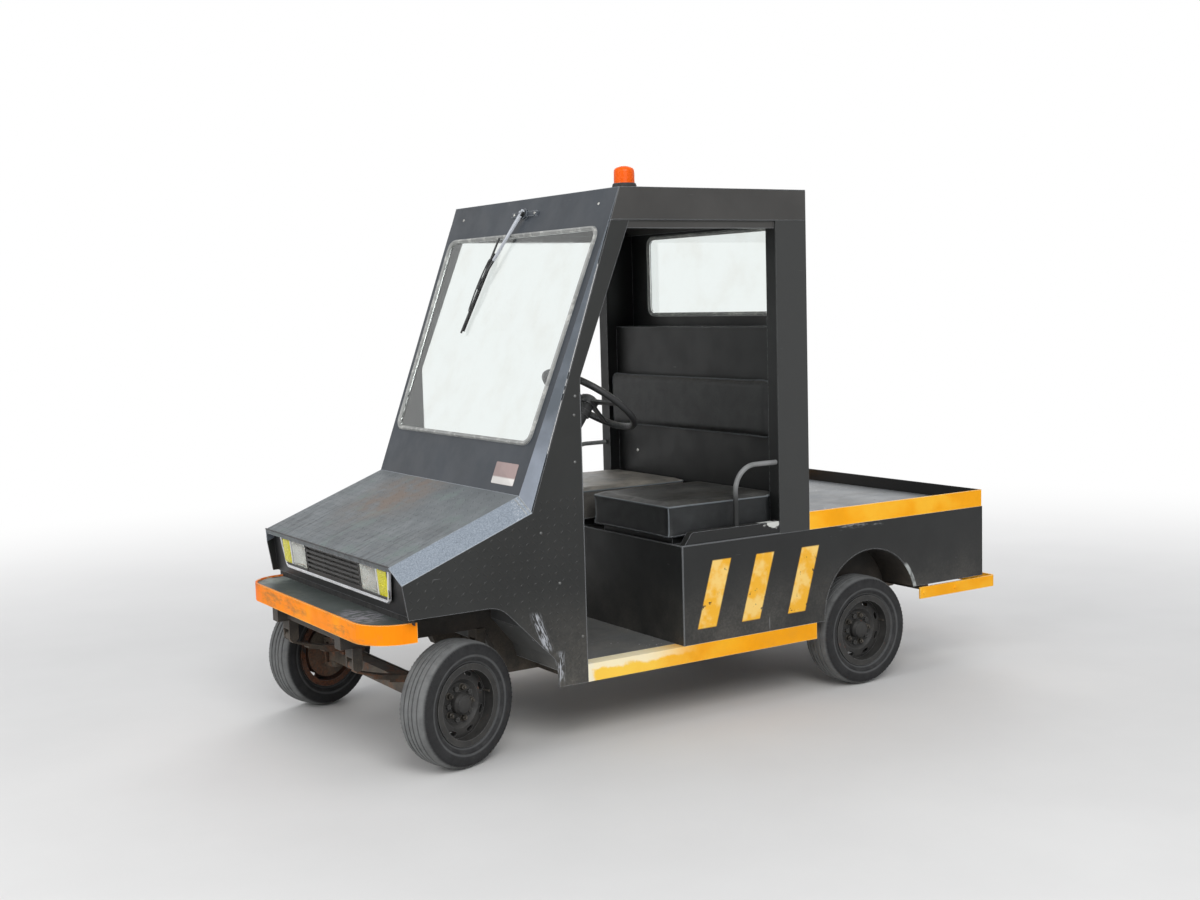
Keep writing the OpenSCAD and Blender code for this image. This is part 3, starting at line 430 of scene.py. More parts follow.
class Net:
    """Short ways to add and join the nodes of a material or group."""

    def __init__(self, tree):
        self.tree = tree

    def put(self, socket, value):
        if isinstance(value, bpy.types.NodeSocket):
            self.tree.links.new(value, socket)
        elif value is not None:
            socket.default_value = value

    def node(self, kind, inputs=None, **settings):
        made = self.tree.nodes.new("ShaderNode" + kind)
        for name, value in settings.items():
            setattr(made, name, value)
        for name, value in (inputs or {}).items():
            self.put(made.inputs[name], value)
        return made

    def reckon(self, operation, a, b=None):
        """One of Blender's sums on one value or two."""
        made = self.tree.nodes.new("ShaderNodeMath")
        made.operation = operation
        self.put(made.inputs[0], a)
        self.put(made.inputs[1], b)
        return made.outputs[0]

    def times(self, a, b):
        return self.reckon("MULTIPLY", a, b)

    def plus(self, a, b):
        return self.reckon("ADD", a, b)

    def less(self, a, b):
        return self.reckon("SUBTRACT", a, b)

    def most(self, a, b):
        return self.reckon("MAXIMUM", a, b)

    def size(self, a):
        return self.reckon("ABSOLUTE", a)

    def normal(self):
        return self.node("NewGeometry").outputs["Normal"]

    def reach(self, a, b):
        """How far a is from b."""
        return self.node("VectorMath", {0: a, 1: b}, operation="DISTANCE").outputs["Value"]

    def seen(self):
        """1 where a surface is looked at, directly or by way of glass or a gloss."""
        rays = self.node("LightPath").outputs
        near = self.most(rays["Is Camera Ray"], rays["Is Glossy Ray"])
        return self.most(near, rays["Is Transmission Ray"])

    def span(self, value, low, high, to_low=0.0, to_high=1.0):
        made = self.node("MapRange", {"Value": value, "From Min": low, "From Max": high,
            "To Min": to_low, "To Max": to_high}, interpolation_type="SMOOTHSTEP")
        return made.outputs[0]

    def mix(self, share, a, b, blend="MIX"):
        made = self.tree.nodes.new("ShaderNodeMix")
        made.data_type = "RGBA"
        made.blend_type = blend
        self.put(made.inputs[0], share)
        self.put(made.inputs[6], a)
        self.put(made.inputs[7], b)
        return made.outputs[2]

    def blend(self, share, a, b):
        made = self.tree.nodes.new("ShaderNodeMix")
        self.put(made.inputs[0], share)
        self.put(made.inputs[2], a)
        self.put(made.inputs[3], b)
        return made.outputs[0]

    def noise(self, at, scale, detail=3.0, rough=0.55):
        return self.node("TexNoise", {"Vector": at, "Scale": scale, "Detail": detail,
            "Roughness": rough}).outputs[0]

    def cells(self, at, scale, feature="F1"):
        return self.node("TexVoronoi", {"Vector": at, "Scale": scale}, feature=feature).outputs["Distance"]

    def stretched(self, at, x, y, z):
        return self.node("Mapping", {"Vector": at, "Scale": (x, y, z)}).outputs[0]

    def split(self, vector):
        return self.node("SeparateXYZ", {"Vector": vector}).outputs

    def dot(self, a, b):
        return self.node("VectorMath", {0: a, 1: b}, operation="DOT_PRODUCT").outputs["Value"]


def shared(name, outputs, build, **inputs):
    """A new shader group: build takes a net, the place and the inputs, and lists what comes out."""
    tree = bpy.data.node_groups.new(name, "ShaderNodeTree")
    tree.interface.new_socket("At", in_out="INPUT", socket_type="NodeSocketVector")
    for label, value in inputs.items():
        socket = tree.interface.new_socket(label, in_out="INPUT", socket_type="NodeSocketFloat")
        socket.default_value = value
    for label in outputs:
        tree.interface.new_socket(label, in_out="OUTPUT", socket_type="NodeSocketFloat")
    given = tree.nodes.new("NodeGroupInput").outputs
    result = tree.nodes.new("NodeGroupOutput").inputs
    net = Net(tree)
    made = build(net, *list(given)[:len(inputs) + 1])
    for socket, value in zip(result, made):
        net.put(socket, value)
    return tree


def edge_wear(net, at, width, amount, scale):
    """Where an edge has rubbed, broken up by noise."""
    eased = net.node("Bevel", {"Radius": width}, samples=6).outputs[0]
    edge = net.span(net.dot(eased, net.normal()), 0.998, 0.86)
    broken = net.noise(at, scale, 5.0, 0.65)
    cut = net.less(1.02, amount)
    return [net.span(net.times(edge, net.plus(broken, 0.35)), cut, net.plus(cut, 0.12))]


def road_dust(net, at, amount, height, level, scale):
    """Dust thrown up from below and lying on level faces."""
    low = net.span(net.split(at)[2], height, net.times(height, 0.25))
    up = net.span(net.split(net.normal())[2], 0.35, 0.95)
    lying = net.times(up, level)
    cloud = net.span(net.noise(at, scale, 6.0, 0.7), 0.3, 0.72)
    speck = net.span(net.noise(at, net.times(scale, 22.0), 3.0, 0.7), 0.35, 0.7, 0.55, 1.0)
    both = net.most(low, lying)
    return [net.times(net.times(both, amount), net.times(net.plus(cloud, 0.25), speck))]


def scratches(net, at, amount, scale):
    """Fine level and upright scratches, in patches."""
    across_grain = net.stretched(at, 1.0, 1.0, 14.0)
    along_grain = net.stretched(at, 16.0, 16.0, 1.2)
    fine = net.noise(across_grain, net.times(scale, 3.0), 2.0, 0.5)
    upright = net.noise(along_grain, scale, 2.0, 0.5)
    limit = net.less(0.80, net.times(amount, 0.14))
    a = net.span(fine, limit, net.plus(limit, 0.03))
    b = net.span(upright, limit, net.plus(limit, 0.03))
    patch = net.span(net.noise(at, net.times(scale, 0.7)), 0.42, 0.6)
    return [net.times(net.most(a, b), patch)]


def paint_chips(net, at, amount, scale):
    """Small ragged chips, in clusters."""
    shake = net.node("TexNoise", {"Vector": at, "Scale": 90.0}).outputs[1]
    shift = net.node("VectorMath", {0: shake, 1: (0.006, 0.006, 0.006)}, operation="MULTIPLY").outputs[0]
    bent = net.node("VectorMath", {0: at, 1: shift}, operation="ADD").outputs[0]
    spot = net.cells(bent, scale)
    lot = net.noise(at, net.times(scale, 0.16), 2.0, 0.6)
    size = net.span(lot, net.less(0.86, net.times(amount, 0.36)), 0.95, 0.0, 0.5)
    return [net.span(net.less(size, spot), 0.0, 0.05)]


def rust_patches(net, at, amount, scale):
    """Clouds of rust, and how light each part of them is."""
    cloud = net.noise(at, scale, 8.0, 0.68)
    limit = net.less(0.78, net.times(amount, 0.42))
    mask = net.span(cloud, limit, net.plus(limit, 0.10))
    return [mask, net.noise(at, net.times(scale, 9.0), 4.0, 0.7)]


def blotches(net, at, scale, low, high):
    """Wide pale and dark areas."""
    return [net.span(net.noise(at, scale, 5.0, 0.6), 0.25, 0.75, low, high)]


def sprayed_skin(net, at, peel, wave):
    """Orange-peel of sprayed paint, with the sheet's slight waves."""
    fine = net.times(net.noise(at, 420.0, 2.0, 0.5), peel)
    return [net.plus(fine, net.times(net.noise(at, 5.0, 1.0, 0.4), net.times(wave, 6.0)))]


def vinyl_grain(net, at, scale, crease):
    """Leather-cloth grain: small pebbles parted by creases."""
    pits = net.span(net.cells(at, scale, "DISTANCE_TO_EDGE"), 0.0, 0.16)
    folds = net.noise(net.stretched(at, 1.0, 0.45, 1.0), 26.0, 4.0, 0.6)
    return [net.plus(pits, net.times(folds, net.times(crease, 3.0))), pits]


GROUPS = {tree.name: tree for tree in (
    shared("Edge wear", ["Mask"], edge_wear, Width=0.004, Amount=0.5, Scale=60.0),
    shared("Road dust", ["Mask"], road_dust, Amount=0.5, Height=0.5, Level=0.3, Scale=6.0),
    shared("Scratches", ["Mask"], scratches, Amount=0.5, Scale=5.0),
    shared("Paint chips", ["Mask"], paint_chips, Amount=0.5, Scale=70.0),
    shared("Rust", ["Mask", "Tone"], rust_patches, Amount=0.5, Scale=9.0),
    shared("Blotches", ["Value"], blotches, Scale=4.0, Low=0.85, High=1.12),
    shared("Sprayed skin", ["Height"], sprayed_skin, Peel=1.0, Wave=1.0),
    shared("Vinyl grain", ["Height", "Pits"], vinyl_grain, Scale=380.0, Crease=0.5))}
DUST = shade(150, 144, 132)
RUST_DARK = shade(58, 34, 24)
RUST_LIGHT = shade(128, 74, 42)


class Finish(Net):
    """A material laid up in coats: a base colour, then marks over it, each with its own mask."""

    def __init__(self, name, colour, roughness=0.5, metallic=0.0, **shader):
        self.material = bpy.data.materials.new(name)
        self.material.use_nodes = True
        self.material.node_tree.nodes.clear()
        super().__init__(self.material.node_tree)
        self.at = self.node("TexCoord").outputs["Object"]
        self.colour = colour
        self.roughness = roughness
        self.metallic = metallic
        self.height = None
        self.shader = self.node("BsdfPrincipled", {k.replace("_", " "): v for k, v in shader.items()})
        self.output = self.node("OutputMaterial", {"Surface": self.shader.outputs[0]})

    def group(self, name, output, **values):
        made = self.tree.nodes.new("ShaderNodeGroup")
        made.node_tree = GROUPS[name]
        self.put(made.inputs["At"], self.at)
        for key, value in values.items():
            self.put(made.inputs[key], value)
        return made.outputs[output]

    def coat(self, mask, colour, roughness=None, metallic=None):
        self.colour = self.mix(mask, self.colour, colour)
        if roughness is not None:
            self.roughness = self.blend(mask, self.roughness, roughness)
        if metallic is not None:
            self.metallic = self.blend(mask, self.metallic, metallic)
        return self

    def tone(self, scale, low, high):
        value = self.group("Blotches", "Value", Scale=scale, Low=low, High=high)
        self.colour = self.mix(1.0, self.colour, value, "MULTIPLY")
        cloud = self.cloud(scale * 3.1, 0.3, 0.7, 4.0, least=-0.07, most=0.07)
        self.roughness = self.plus(self.roughness, cloud)
        return self

    def edges(self, colour, width=0.004, amount=0.5, scale=60.0, roughness=0.4):
        mask = self.group("Edge wear", "Mask", Width=width, Amount=amount, Scale=scale)
        return self.coat(mask, colour, roughness)

    def cloud(self, scale, low, high, detail=3.0, rough=0.55, least=0.0, most=1.0):
        """A cloudy mask from noise."""
        return self.span(self.noise(self.at, scale, detail, rough), low, high, least, most)

    def dust(self, amount, height=0.5, level=0.35, scale=6.0, colour=DUST):
        mask = self.group("Road dust", "Mask", Amount=amount, Height=height, Level=level, Scale=scale)
        return self.coat(mask, colour, 0.9)

    def scratches(self, amount, scale, colour, roughness=0.5):
        return self.coat(self.group("Scratches", "Mask", Amount=amount, Scale=scale), colour, roughness)

    def chips(self, amount, scale, colour, roughness=0.5):
        return self.coat(self.group("Paint chips", "Mask", Amount=amount, Scale=scale), colour, roughness)

    def rust(self, amount, scale):
        mask = self.group("Rust", "Mask", Amount=amount, Scale=scale)
        tone = self.group("Rust", "Tone", Amount=amount, Scale=scale)
        colour = self.mix(self.span(tone, 0.3, 0.7), RUST_DARK, RUST_LIGHT)
        return self.coat(mask, colour, 0.85, 0.0)

    def relief(self, height, share=1.0):
        part = self.times(height, share)
        self.height = part if self.height is None else self.plus(self.height, part)
        return self

    def skin(self, peel, wave):
        return self.relief(self.group("Sprayed skin", "Height", Peel=peel, Wave=wave))

    def done(self, deep=0.0004, strength=0.5):
        self.put(self.shader.inputs["Base Color"], self.colour)
        self.put(self.shader.inputs["Roughness"], self.roughness)
        self.put(self.shader.inputs["Metallic"], self.metallic)
        if self.height is not None:
            bump = self.node("Bump", {"Height": self.height, "Distance": deep, "Strength": strength})
            self.put(self.shader.inputs["Normal"], bump.outputs[0])
        return self.material

    def within(self, x0, x1, z0, z1, soft, lean=0.0):
        """A mask over a patch seen from the side; lean is its step forward for each step up."""
        x, _, z = self.split(self.at)
        x = self.less(x, self.times(self.less(z, z0), lean))
        inside = None
        for value, low, high in ((x, x0, x1), (z, z0, z1)):
            rise = self.span(value, low - soft, low + soft)
            fall = self.span(value, high + soft, high - soft)
            both = self.times(rise, fall)
            inside = both if inside is None else self.times(inside, both)
        return inside


def black_paint(name, colour, dust=0.55, level=0.35, edge=0.42, gloss=0.42):
    """Black enamel over sheet steel: greyed by dust, paler where edges have rubbed."""
    f = Finish(name, colour, gloss, Specular_IOR_Level=0.35)
    f.tone(3.0, 0.82, 1.2)
    f.scratches(0.25, 4.0, shade(96, 97, 98))
    f.dust(dust, 0.62, level, 5.0, shade(120, 116, 108))
    f.edges(shade(128, 130, 132), 0.004, edge, 45.0)
    f.skin(0.2, 1.0)
    return f


def side_paint():
    """Long side panel: worn orange bars, a bright streak at the arch's mouth, chips under the rail."""
    f = black_paint("side panel paint", shade(30, 31, 31), 0.5)
    rubbed = f.cloud(30.0, 0.66, 0.62, 6.0, 0.7)
    pale = f.cloud(11.0, 0.44, 0.60, 4.0, 0.6, least=0.0, most=0.8)
    orange = f.mix(pale, shade(244, 180, 44), shade(250, 214, 128))
    bars = None
    for middle in BAR_MIDDLES:
        bar = f.within(middle - BAR_W / 2, middle + BAR_W / 2, BAR_FOOT, BAR_HEAD, 0.003, BAR_LEAN)
        bars = bar if bars is None else f.most(bars, bar)
    f.coat(f.times(bars, rubbed), orange, 0.5)
    smear = f.span(f.noise(f.stretched(f.at, 0.35, 1.0, 1.6), 60.0, 6.0, 0.75), 0.46, 0.66, 0.0, 0.85)
    flat = f.node("VectorMath", {0: f.at, 1: (1, 0, 1)}, operation="MULTIPLY").outputs[0]
    ring = f.span(f.reach(flat, ARCH), ARCH_R + 16 * MM, ARCH_R + 12 * MM)
    mouth = f.times(ring, f.within(-1.02, -0.91, 0.37, 0.47, 0.01))
    rub = f.cloud(16.0, 0.34, 0.52, 2.0, 0.5, least=0.2, most=0.9)
    f.coat(f.times(mouth, rub), shade(176, 180, 177), 0.5)
    under = f.within(-0.79, -0.56, DECK_Z - 0.014, DECK_Z + 0.010, 0.012)
    f.coat(f.times(under, smear), shade(170, 173, 174), 0.5)
    f.chips(0.22, 60.0, shade(120, 121, 120))
    return f.done()


def tread_paint():
    """Tread plate of the front sides, with pale rubbed streaks along the wheel cut-out."""
    f = black_paint("tread plate paint", shade(36, 37, 36), 0.5)
    x, _, z = f.split(f.at)
    for x0, x1, z0, z1, lean in ((0.772, 0.800, 0.37, 0.50, 0.36), (0.726, 0.748, 0.250, 0.350, 0.0)):
        aslant = f.less(x, f.times(z, lean))
        run = f.node("CombineXYZ", {0: f.times(aslant, 170.0), 2: f.times(z, 26.0)})
        streak = f.span(f.noise(run.outputs[0], 1.0, 3.0, 0.55), 0.46, 0.56, 0.0, 0.9)
        f.coat(f.times(f.within(x0, x1, z0, z1, 0.014, lean), streak), shade(182, 185, 190), 0.6)
    return f.done()


def hood_paint():
    """Hood: rubbed grey and streaked, brownish in the middle; pale blue-grey and speckled down its bevels as
    a painted sky reflection, with a nearly white painted highlight near their rear corners.
    """
    f = Finish("worn hood paint", shade(96, 101, 103), 0.48, Specular_IOR_Level=0.4)
    x, y, _ = f.split(f.at)
    f.tone(6.0, 0.84, 1.18)
    rows = f.noise(f.stretched(f.at, 3.2, 26.0, 1.0), 2.4, 4.0, 0.6)
    front = f.span(x, 0.98, 1.22)
    f.coat(f.times(f.times(f.span(rows, 0.50, 0.64), front), 0.6), shade(58, 62, 64), 0.5)
    centre = f.reach(f.at, (0.99, -0.14, 0.86))
    worn = f.times(f.span(centre, 0.32, 0.06), f.cloud(11.0, 0.32, 0.62, 6.0, 0.7))
    f.coat(worn, shade(120, 109, 100), 0.75)
    green = f.times(f.cloud(7.0, 0.54, 0.66, 4.0, 0.6), 0.5)
    f.coat(green, shade(108, 121, 116), 0.6)
    # Painted sky reflection: the bevels are coloured a pale, speckled blue-grey.
    side = f.span(f.size(y), FLAT_Y - 0.004, FLAT_Y + 0.002)
    speckle = f.mix(f.cloud(240.0, 0.36, 0.66, 3.0, 0.65), shade(112, 121, 130), shade(142, 151, 161))
    f.coat(side, speckle, 0.45)
    # Painted highlight: nearly white speckle near the bevels' rear corners.
    corner = f.times(side, f.span(x, 0.898, 0.884))
    f.coat(f.times(corner, f.cloud(210.0, 0.52, 0.66, 4.0, 0.75)), shade(196, 200, 206), 0.6)
    f.edges(shade(164, 170, 176), 0.004, 0.5, 40.0)
    f.scratches(0.35, 5.0, shade(140, 144, 146))
    f.skin(0.3, 1.0)
    return f.done()


def pillar_paint():
    """Windshield surround: blue-black on the face; blue-grey down the bevels and paler toward the hood, a
    painted sky reflection.
    """
    f = black_paint("windshield surround paint", shade(50, 55, 61), 0.4, 0.3, 0.35)
    y = f.size(f.split(f.at)[1])
    n = f.split(f.normal())
    # Painted sky reflection: blue-grey bevels that grow paler toward the hood.
    bevel = f.times(f.span(f.size(n[1]), 0.3, 0.5), f.span(y, 0.55, 0.57))
    fade = f.span(f.split(f.at)[2], 1.28, 0.94)
    low = f.plus(fade, f.cloud(14.0, 0.3, 0.7, 4.0, least=-0.15, most=0.15))
    f.coat(bevel, f.mix(low, shade(72, 79, 86), shade(124, 131, 141)), 0.45)
    f.edges(shade(150, 156, 162), 0.003, 0.4, 50.0)
    return f.done()


def wall_paint():
    """Rear wall: darkened inside the cab as painted shade under the roof, greyer on the outer faces of its
    posts.
    """
    # The very dark base colour is painted shade under the roof.
    f = black_paint("cab wall paint", shade(18, 19, 19), 0.3, 0.2, 0.3)
    outer = f.span(f.size(f.split(f.at)[1]), HALF_W - 0.008, HALF_W - 0.003)
    f.coat(f.times(outer, 0.75), shade(60, 61, 60))
    f.put(f.shader.inputs["Specular IOR Level"], 0.30)
    return f.done()


def tube_paint():
    """Hip restraints: black at the foot, with a painted highlight in grey round the bend."""
    f = black_paint("hip tube paint", shade(34, 35, 35), 0.3, 0.4)
    # Painted highlight: the tube turns light grey where it curves over at the top.
    bend = f.span(f.split(f.at)[2], DECK_Z + 0.13, DECK_Z + 0.24, 0.0, 0.85)
    cloud = f.cloud(18.0, 0.25, 0.55, 4.0, 0.6, least=0.6, most=1.0)
    f.coat(f.times(bend, cloud), shade(140, 141, 140), 0.45)
    return f.done()


def seat_box_paint():
    """Seat box: its rear lips scuffed to white where feet rest."""
    f = black_paint("seat box paint", shade(26, 27, 27), 0.45)
    spot = f.reach(f.stretched(f.at, 0.42, 0.0, 1.0), (-0.0966, 0.0, DECK_Z + 0.040))
    ragged = f.plus(spot, f.cloud(22.0, 0.3, 0.7, 3.0, 0.5, least=-0.012, most=0.012))
    f.coat(f.span(ragged, 0.016, 0.011), shade(204, 206, 200), 0.6)
    return f.done()


def orange_paint(name, colour, yellow, dust=0.22):
    """Orange enamel, yellowed in places, scuffed to primer and steel along its edges."""
    f = Finish(name, colour, 0.5, Specular_IOR_Level=0.14)
    f.tone(5.0, 0.92, 1.06)
    f.coat(f.cloud(5.0, 0.45, 0.7, 3.0, least=0.0, most=0.6), yellow)
    f.scratches(0.4, 6.0, shade(168, 112, 50), 0.6)
    f.chips(0.28, 55.0, shade(96, 84, 68))
    f.dust(dust, 0.45, 0.3, 7.0, shade(150, 128, 92))
    f.edges(shade(246, 214, 140), 0.004, 0.42, 40.0)
    f.skin(0.3, 0.8)
    return f


def bumper_paint():
    """The front bumper: redder and rubbed pale at its far end."""
    f = orange_paint("bumper paint", shade(255, 142, 0), shade(255, 164, 14))
    y = f.split(f.at)[1]
    f.coat(f.span(y, -0.36, -0.52, 0.0, 0.7), shade(252, 106, 22))
    rubbed = f.times(f.span(y, -0.50, -0.58), f.cloud(26.0, 0.46, 0.56, 5.0, 0.7))
    f.coat(rubbed, shade(232, 200, 150), 0.6)
    # Darker brown on the faces that look forward.
    facing = f.span(f.split(f.normal())[0], 0.5, 0.9)
    forward_darkening = f.span(f.noise(f.stretched(f.at, 1.0, 0.4, 1.4), 13.0, 5.0, 0.7), 0.46, 0.70, 0.0, 0.65)
    f.coat(f.times(facing, forward_darkening), shade(128, 104, 74), 0.7)
    return f.done()


def sill_paint():
    """Sill strip: cream at its front end and along its upper edge, orange toward the wheel."""
    f = orange_paint("sill paint", shade(255, 170, 8), shade(255, 190, 36), 0.2)
    x, _, z = f.split(f.at)
    cloud = f.cloud(20.0, 0.2, 0.8, 4.0, least=-0.05, most=0.05)
    front = f.span(f.plus(x, cloud), 0.05, 0.46)
    f.coat(f.times(front, 0.85), shade(255, 212, 84))
    upper = f.span(f.plus(z, f.times(cloud, 0.2)), SILL_TOP - 0.030, SILL_TOP - 0.016)
    f.coat(f.times(upper, f.span(x, 0.12, 0.40)), shade(250, 236, 196), 0.5)
    f.coat(f.span(f.plus(x, f.times(cloud, 0.3)), 0.596, 0.612), shade(244, 234, 204), 0.5)
    return f.done()


def shelf_paint():
    """Bumper shelf: green-black, with a pale, streaked, half-metallic patch by the near end and a pale far
    end.
    """
    f = black_paint("bumper shelf paint", shade(70, 78, 76), 0.4, 0.4, 0.5)
    spot = f.reach(f.stretched(f.at, 1.0, 0.55, 1.0), (1.36, 0.19, 0.52))
    near = f.span(spot, 0.09, 0.04)
    streaks = f.span(f.noise(f.stretched(f.at, 1.0, 4.0, 1.0), 24.0, 5.0, 0.7), 0.46, 0.56)
    f.coat(f.times(near, streaks), shade(176, 172, 180), 0.4, 0.5)
    pale = f.times(f.span(f.split(f.at)[1], -0.40, -0.52), f.cloud(16.0, 0.36, 0.60, 5.0, 0.7))
    f.coat(pale, shade(150, 158, 152), 0.6)
    return f.done()


def deck_paint(name, colour):
    """Grey deck paint, walked and dragged on."""
    f = Finish(name, colour, 0.6)
    f.tone(3.5, 0.8, 1.15)
    f.scratches(0.7, 4.0, shade(188, 190, 190), 0.5)
    f.scratches(0.45, 9.0, shade(70, 70, 70), 0.7)
    f.dust(0.5, 0.5, 0.6, 5.0)
    f.chips(0.4, 40.0, shade(88, 72, 60))
    f.edges(shade(196, 198, 198), 0.004, 0.45)
    f.skin(0.3, 1.5)
    return f.done()


def running_gear(name, colour, rust=0.45):
    """Old black paint on frame and axles, rusting under road dirt."""
    f = Finish(name, colour, 0.62)
    f.tone(8.0, 0.75, 1.25)
    f.rust(rust, 10.0)
    f.dust(0.8, 0.62, 0.5, 9.0, shade(112, 102, 88))
    f.edges(shade(98, 84, 72), 0.003, 0.4)
    f.skin(1.2, 0.5)
    return f.done(0.0006)


def wheel_paint(name, rust):
    f = Finish(name, shade(34, 34, 34), 0.5, Specular_IOR_Level=0.35)
    f.tone(14.0, 0.8, 1.25)
    f.rust(rust, 16.0)
    f.chips(0.3, 80.0, shade(88, 87, 85))
    f.dust(0.4, 0.75, 0.4, 12.0, shade(86, 84, 80))
    f.edges(shade(104, 104, 103), 0.003, 0.45, 70.0)
    f.skin(0.6, 0.3)
    return f.done()


def tyre_rubber():
    """Tyre rubber: black walls with two painted highlight rings, the tread rubbed grey with road dust. Local
    Z runs along the axle.
    """
    f = Finish("tyre rubber", shade(36, 36, 37), 0.72, Specular_IOR_Level=0.3)
    x, y, _ = f.split(f.at)
    reach = f.reckon("SQRT", f.plus(f.times(x, x), f.times(y, y)))
    f.tone(12.0, 0.82, 1.15)
    tread = f.span(reach, 0.206, 0.215)
    film = f.cloud(18.0, 0.25, 0.65, 6.0, 0.7, least=0.6, most=1.0)
    f.coat(f.times(tread, film), shade(112, 113, 112), 0.92)
    wall = f.times(f.span(reach, 0.150, 0.206, 0.7, 0.1), f.cloud(26.0, 0.35, 0.7, 5.0, 0.7))
    f.coat(f.times(wall, 0.6), shade(74, 74, 73), 0.9)
    # Painted highlights: two pale rings round the sidewall.
    for middle in (0.1475, 0.1700):
        ring = f.times(f.span(f.size(f.less(reach, middle)), 0.0060, 0.0015), film)
        f.coat(f.times(ring, 0.8), shade(88, 89, 89), 0.8)
    around = f.reckon("ARCTAN2", y, x)
    rings = f.reckon("SINE", f.times(reach, 2600.0))
    f.relief(f.span(rings, -0.4, 0.6), 0.25)
    f.relief(f.reckon("SINE", f.times(around, 180.0)), 0.06)
    f.relief(f.noise(f.at, 160.0, 4.0, 0.7), 0.6)
    return f.done(0.0006, 0.6)


def vinyl(name, colour, worn, crease=0.5, wear=0.5):
    """Padded seat vinyl: grained, creased, greyer on its tops and flanks, both from wear where people slide
    across and as painted light on the faces that catch it.
    """
    f = Finish(name, colour, 0.40, Specular_IOR_Level=0.34)
    f.tone(7.0, 0.8, 1.2)
    _, across_seat, up = f.split(f.normal())
    # Paler tops and flanks: wear from sitting, plus painted light that leaves the fronts dark.
    lit_flank = f.span(f.size(across_seat), 0.5, 0.95, 0.0, 0.45)
    top = f.most(f.span(up, 0.4, 0.9), lit_flank)
    cloud = f.cloud(6.0, 0.35, 0.70, 5.0, 0.65)
    f.coat(f.times(f.times(top, cloud), wear), worn, 0.6)
    pits = f.span(f.group("Vinyl grain", "Pits", Scale=420.0), 0.5, 0.0, 0.0, 0.5)
    f.coat(pits, shade(12, 12, 12), 0.7)
    f.edges(shade(112, 118, 124), 0.006, 0.42, 26.0, 0.35)
    f.dust(0.35, 0.3, 0.5, 8.0)
    f.relief(f.group("Vinyl grain", "Height", Scale=420.0, Crease=crease))
    return f.done(0.0005, 0.45)


def rubber(name, colour, pale, share=0.5):
    f = Finish(name, colour, 0.7)
    f.tone(10.0, 0.8, 1.15)
    f.coat(f.cloud(24.0, 0.5, 0.62, 5.0, 0.7, least=0.0, most=share), pale, 0.85)
    f.dust(0.3, 0.5, 0.4)
    f.relief(f.noise(f.at, 260.0, 3.0))
    return f.done(0.0002)


def moulded(name, colour, roughness=0.5):
    """Moulded black plastic with a fine spark-eroded grain."""
    f = Finish(name, colour, roughness)
    f.tone(8.0, 0.85, 1.15)
    f.scratches(0.35, 7.0, shade(96, 96, 96))
    f.dust(0.35, 0.5, 0.55, 8.0)
    f.edges(shade(104, 104, 104), 0.003, 0.4)
    f.relief(f.noise(f.at, 700.0, 2.0))
    return f.done(0.00012)


def steel(name, colour, roughness=0.35, rust=0.25):
    """Bare or plated steel fixings."""
    f = Finish(name, colour, roughness, 0.9)
    f.tone(30.0, 0.8, 1.15)
    f.rust(rust, 40.0)
    f.dust(0.35, 0.6, 0.3, 20.0)
    f.relief(f.noise(f.stretched(f.at, 1, 1, 12), 90.0, 3.0))
    return f.done(0.0002)


def lamp_lens(name, colour, roughness=0.12, clear=0.88, dull=0.05):
    """Clear or tinted moulded lens."""
    f = Finish(name, colour, roughness, Transmission_Weight=clear, IOR=1.49)
    cloud = f.noise(f.at, 30.0, 4.0)
    f.colour = f.mix(f.span(cloud, 0.3, 0.75, 0.0, dull), colour, shade(232, 228, 214))
    f.roughness = f.span(cloud, 0.3, 0.7, roughness * 0.6, roughness * 1.9)
    f.relief(f.noise(f.at, 300.0, 2.0))
    return f.done(0.00008)


def safety_glass():
    f = Finish("safety glass", shade(216, 229, 224), 0.03, Transmission_Weight=1.0, IOR=1.45)
    f.roughness = f.cloud(3.0, 0.35, 0.75, 6.0, 0.7, least=0.01, most=0.09)
    film = f.cloud(7.0, 0.4, 0.8, 5.0, least=0.0, most=0.25)
    f.colour = f.mix(film, shade(238, 244, 242), shade(216, 214, 204))
    return f.done()


def reflector():
    f = Finish("lamp reflector", shade(226, 228, 226), 0.14, 1.0)
    f.tone(20.0, 0.86, 1.05)
    f.coat(f.cloud(40.0, 0.52, 0.68, 4.0, least=0.0, most=0.5), shade(150, 138, 112), 0.4)
    return f.done()


def beacon_lens():
    """Dense orange plastic of the beacon's dome, evenly coloured."""
    f = Finish("orange beacon lens", shade(252, 100, 2), 0.3, Transmission_Weight=0.15, IOR=1.49,
        Specular_IOR_Level=0.15)
    f.tone(40.0, 0.96, 1.02)
    return f.done()


def blank_label():
    """Bare plate where a label sits: faded red ground, paler foot, nothing written."""
    f = Finish("blank label", shade(158, 138, 134), 0.6)
    foot = f.span(f.split(f.at)[2], LABEL_FOOT_Z + 0.003, LABEL_FOOT_Z - 0.003)
    f.coat(foot, shade(224, 220, 214))
    f.tone(9.0, 0.94, 1.05)
    f.edges(shade(110, 90, 86), 0.002, 0.4)
    return f.done()


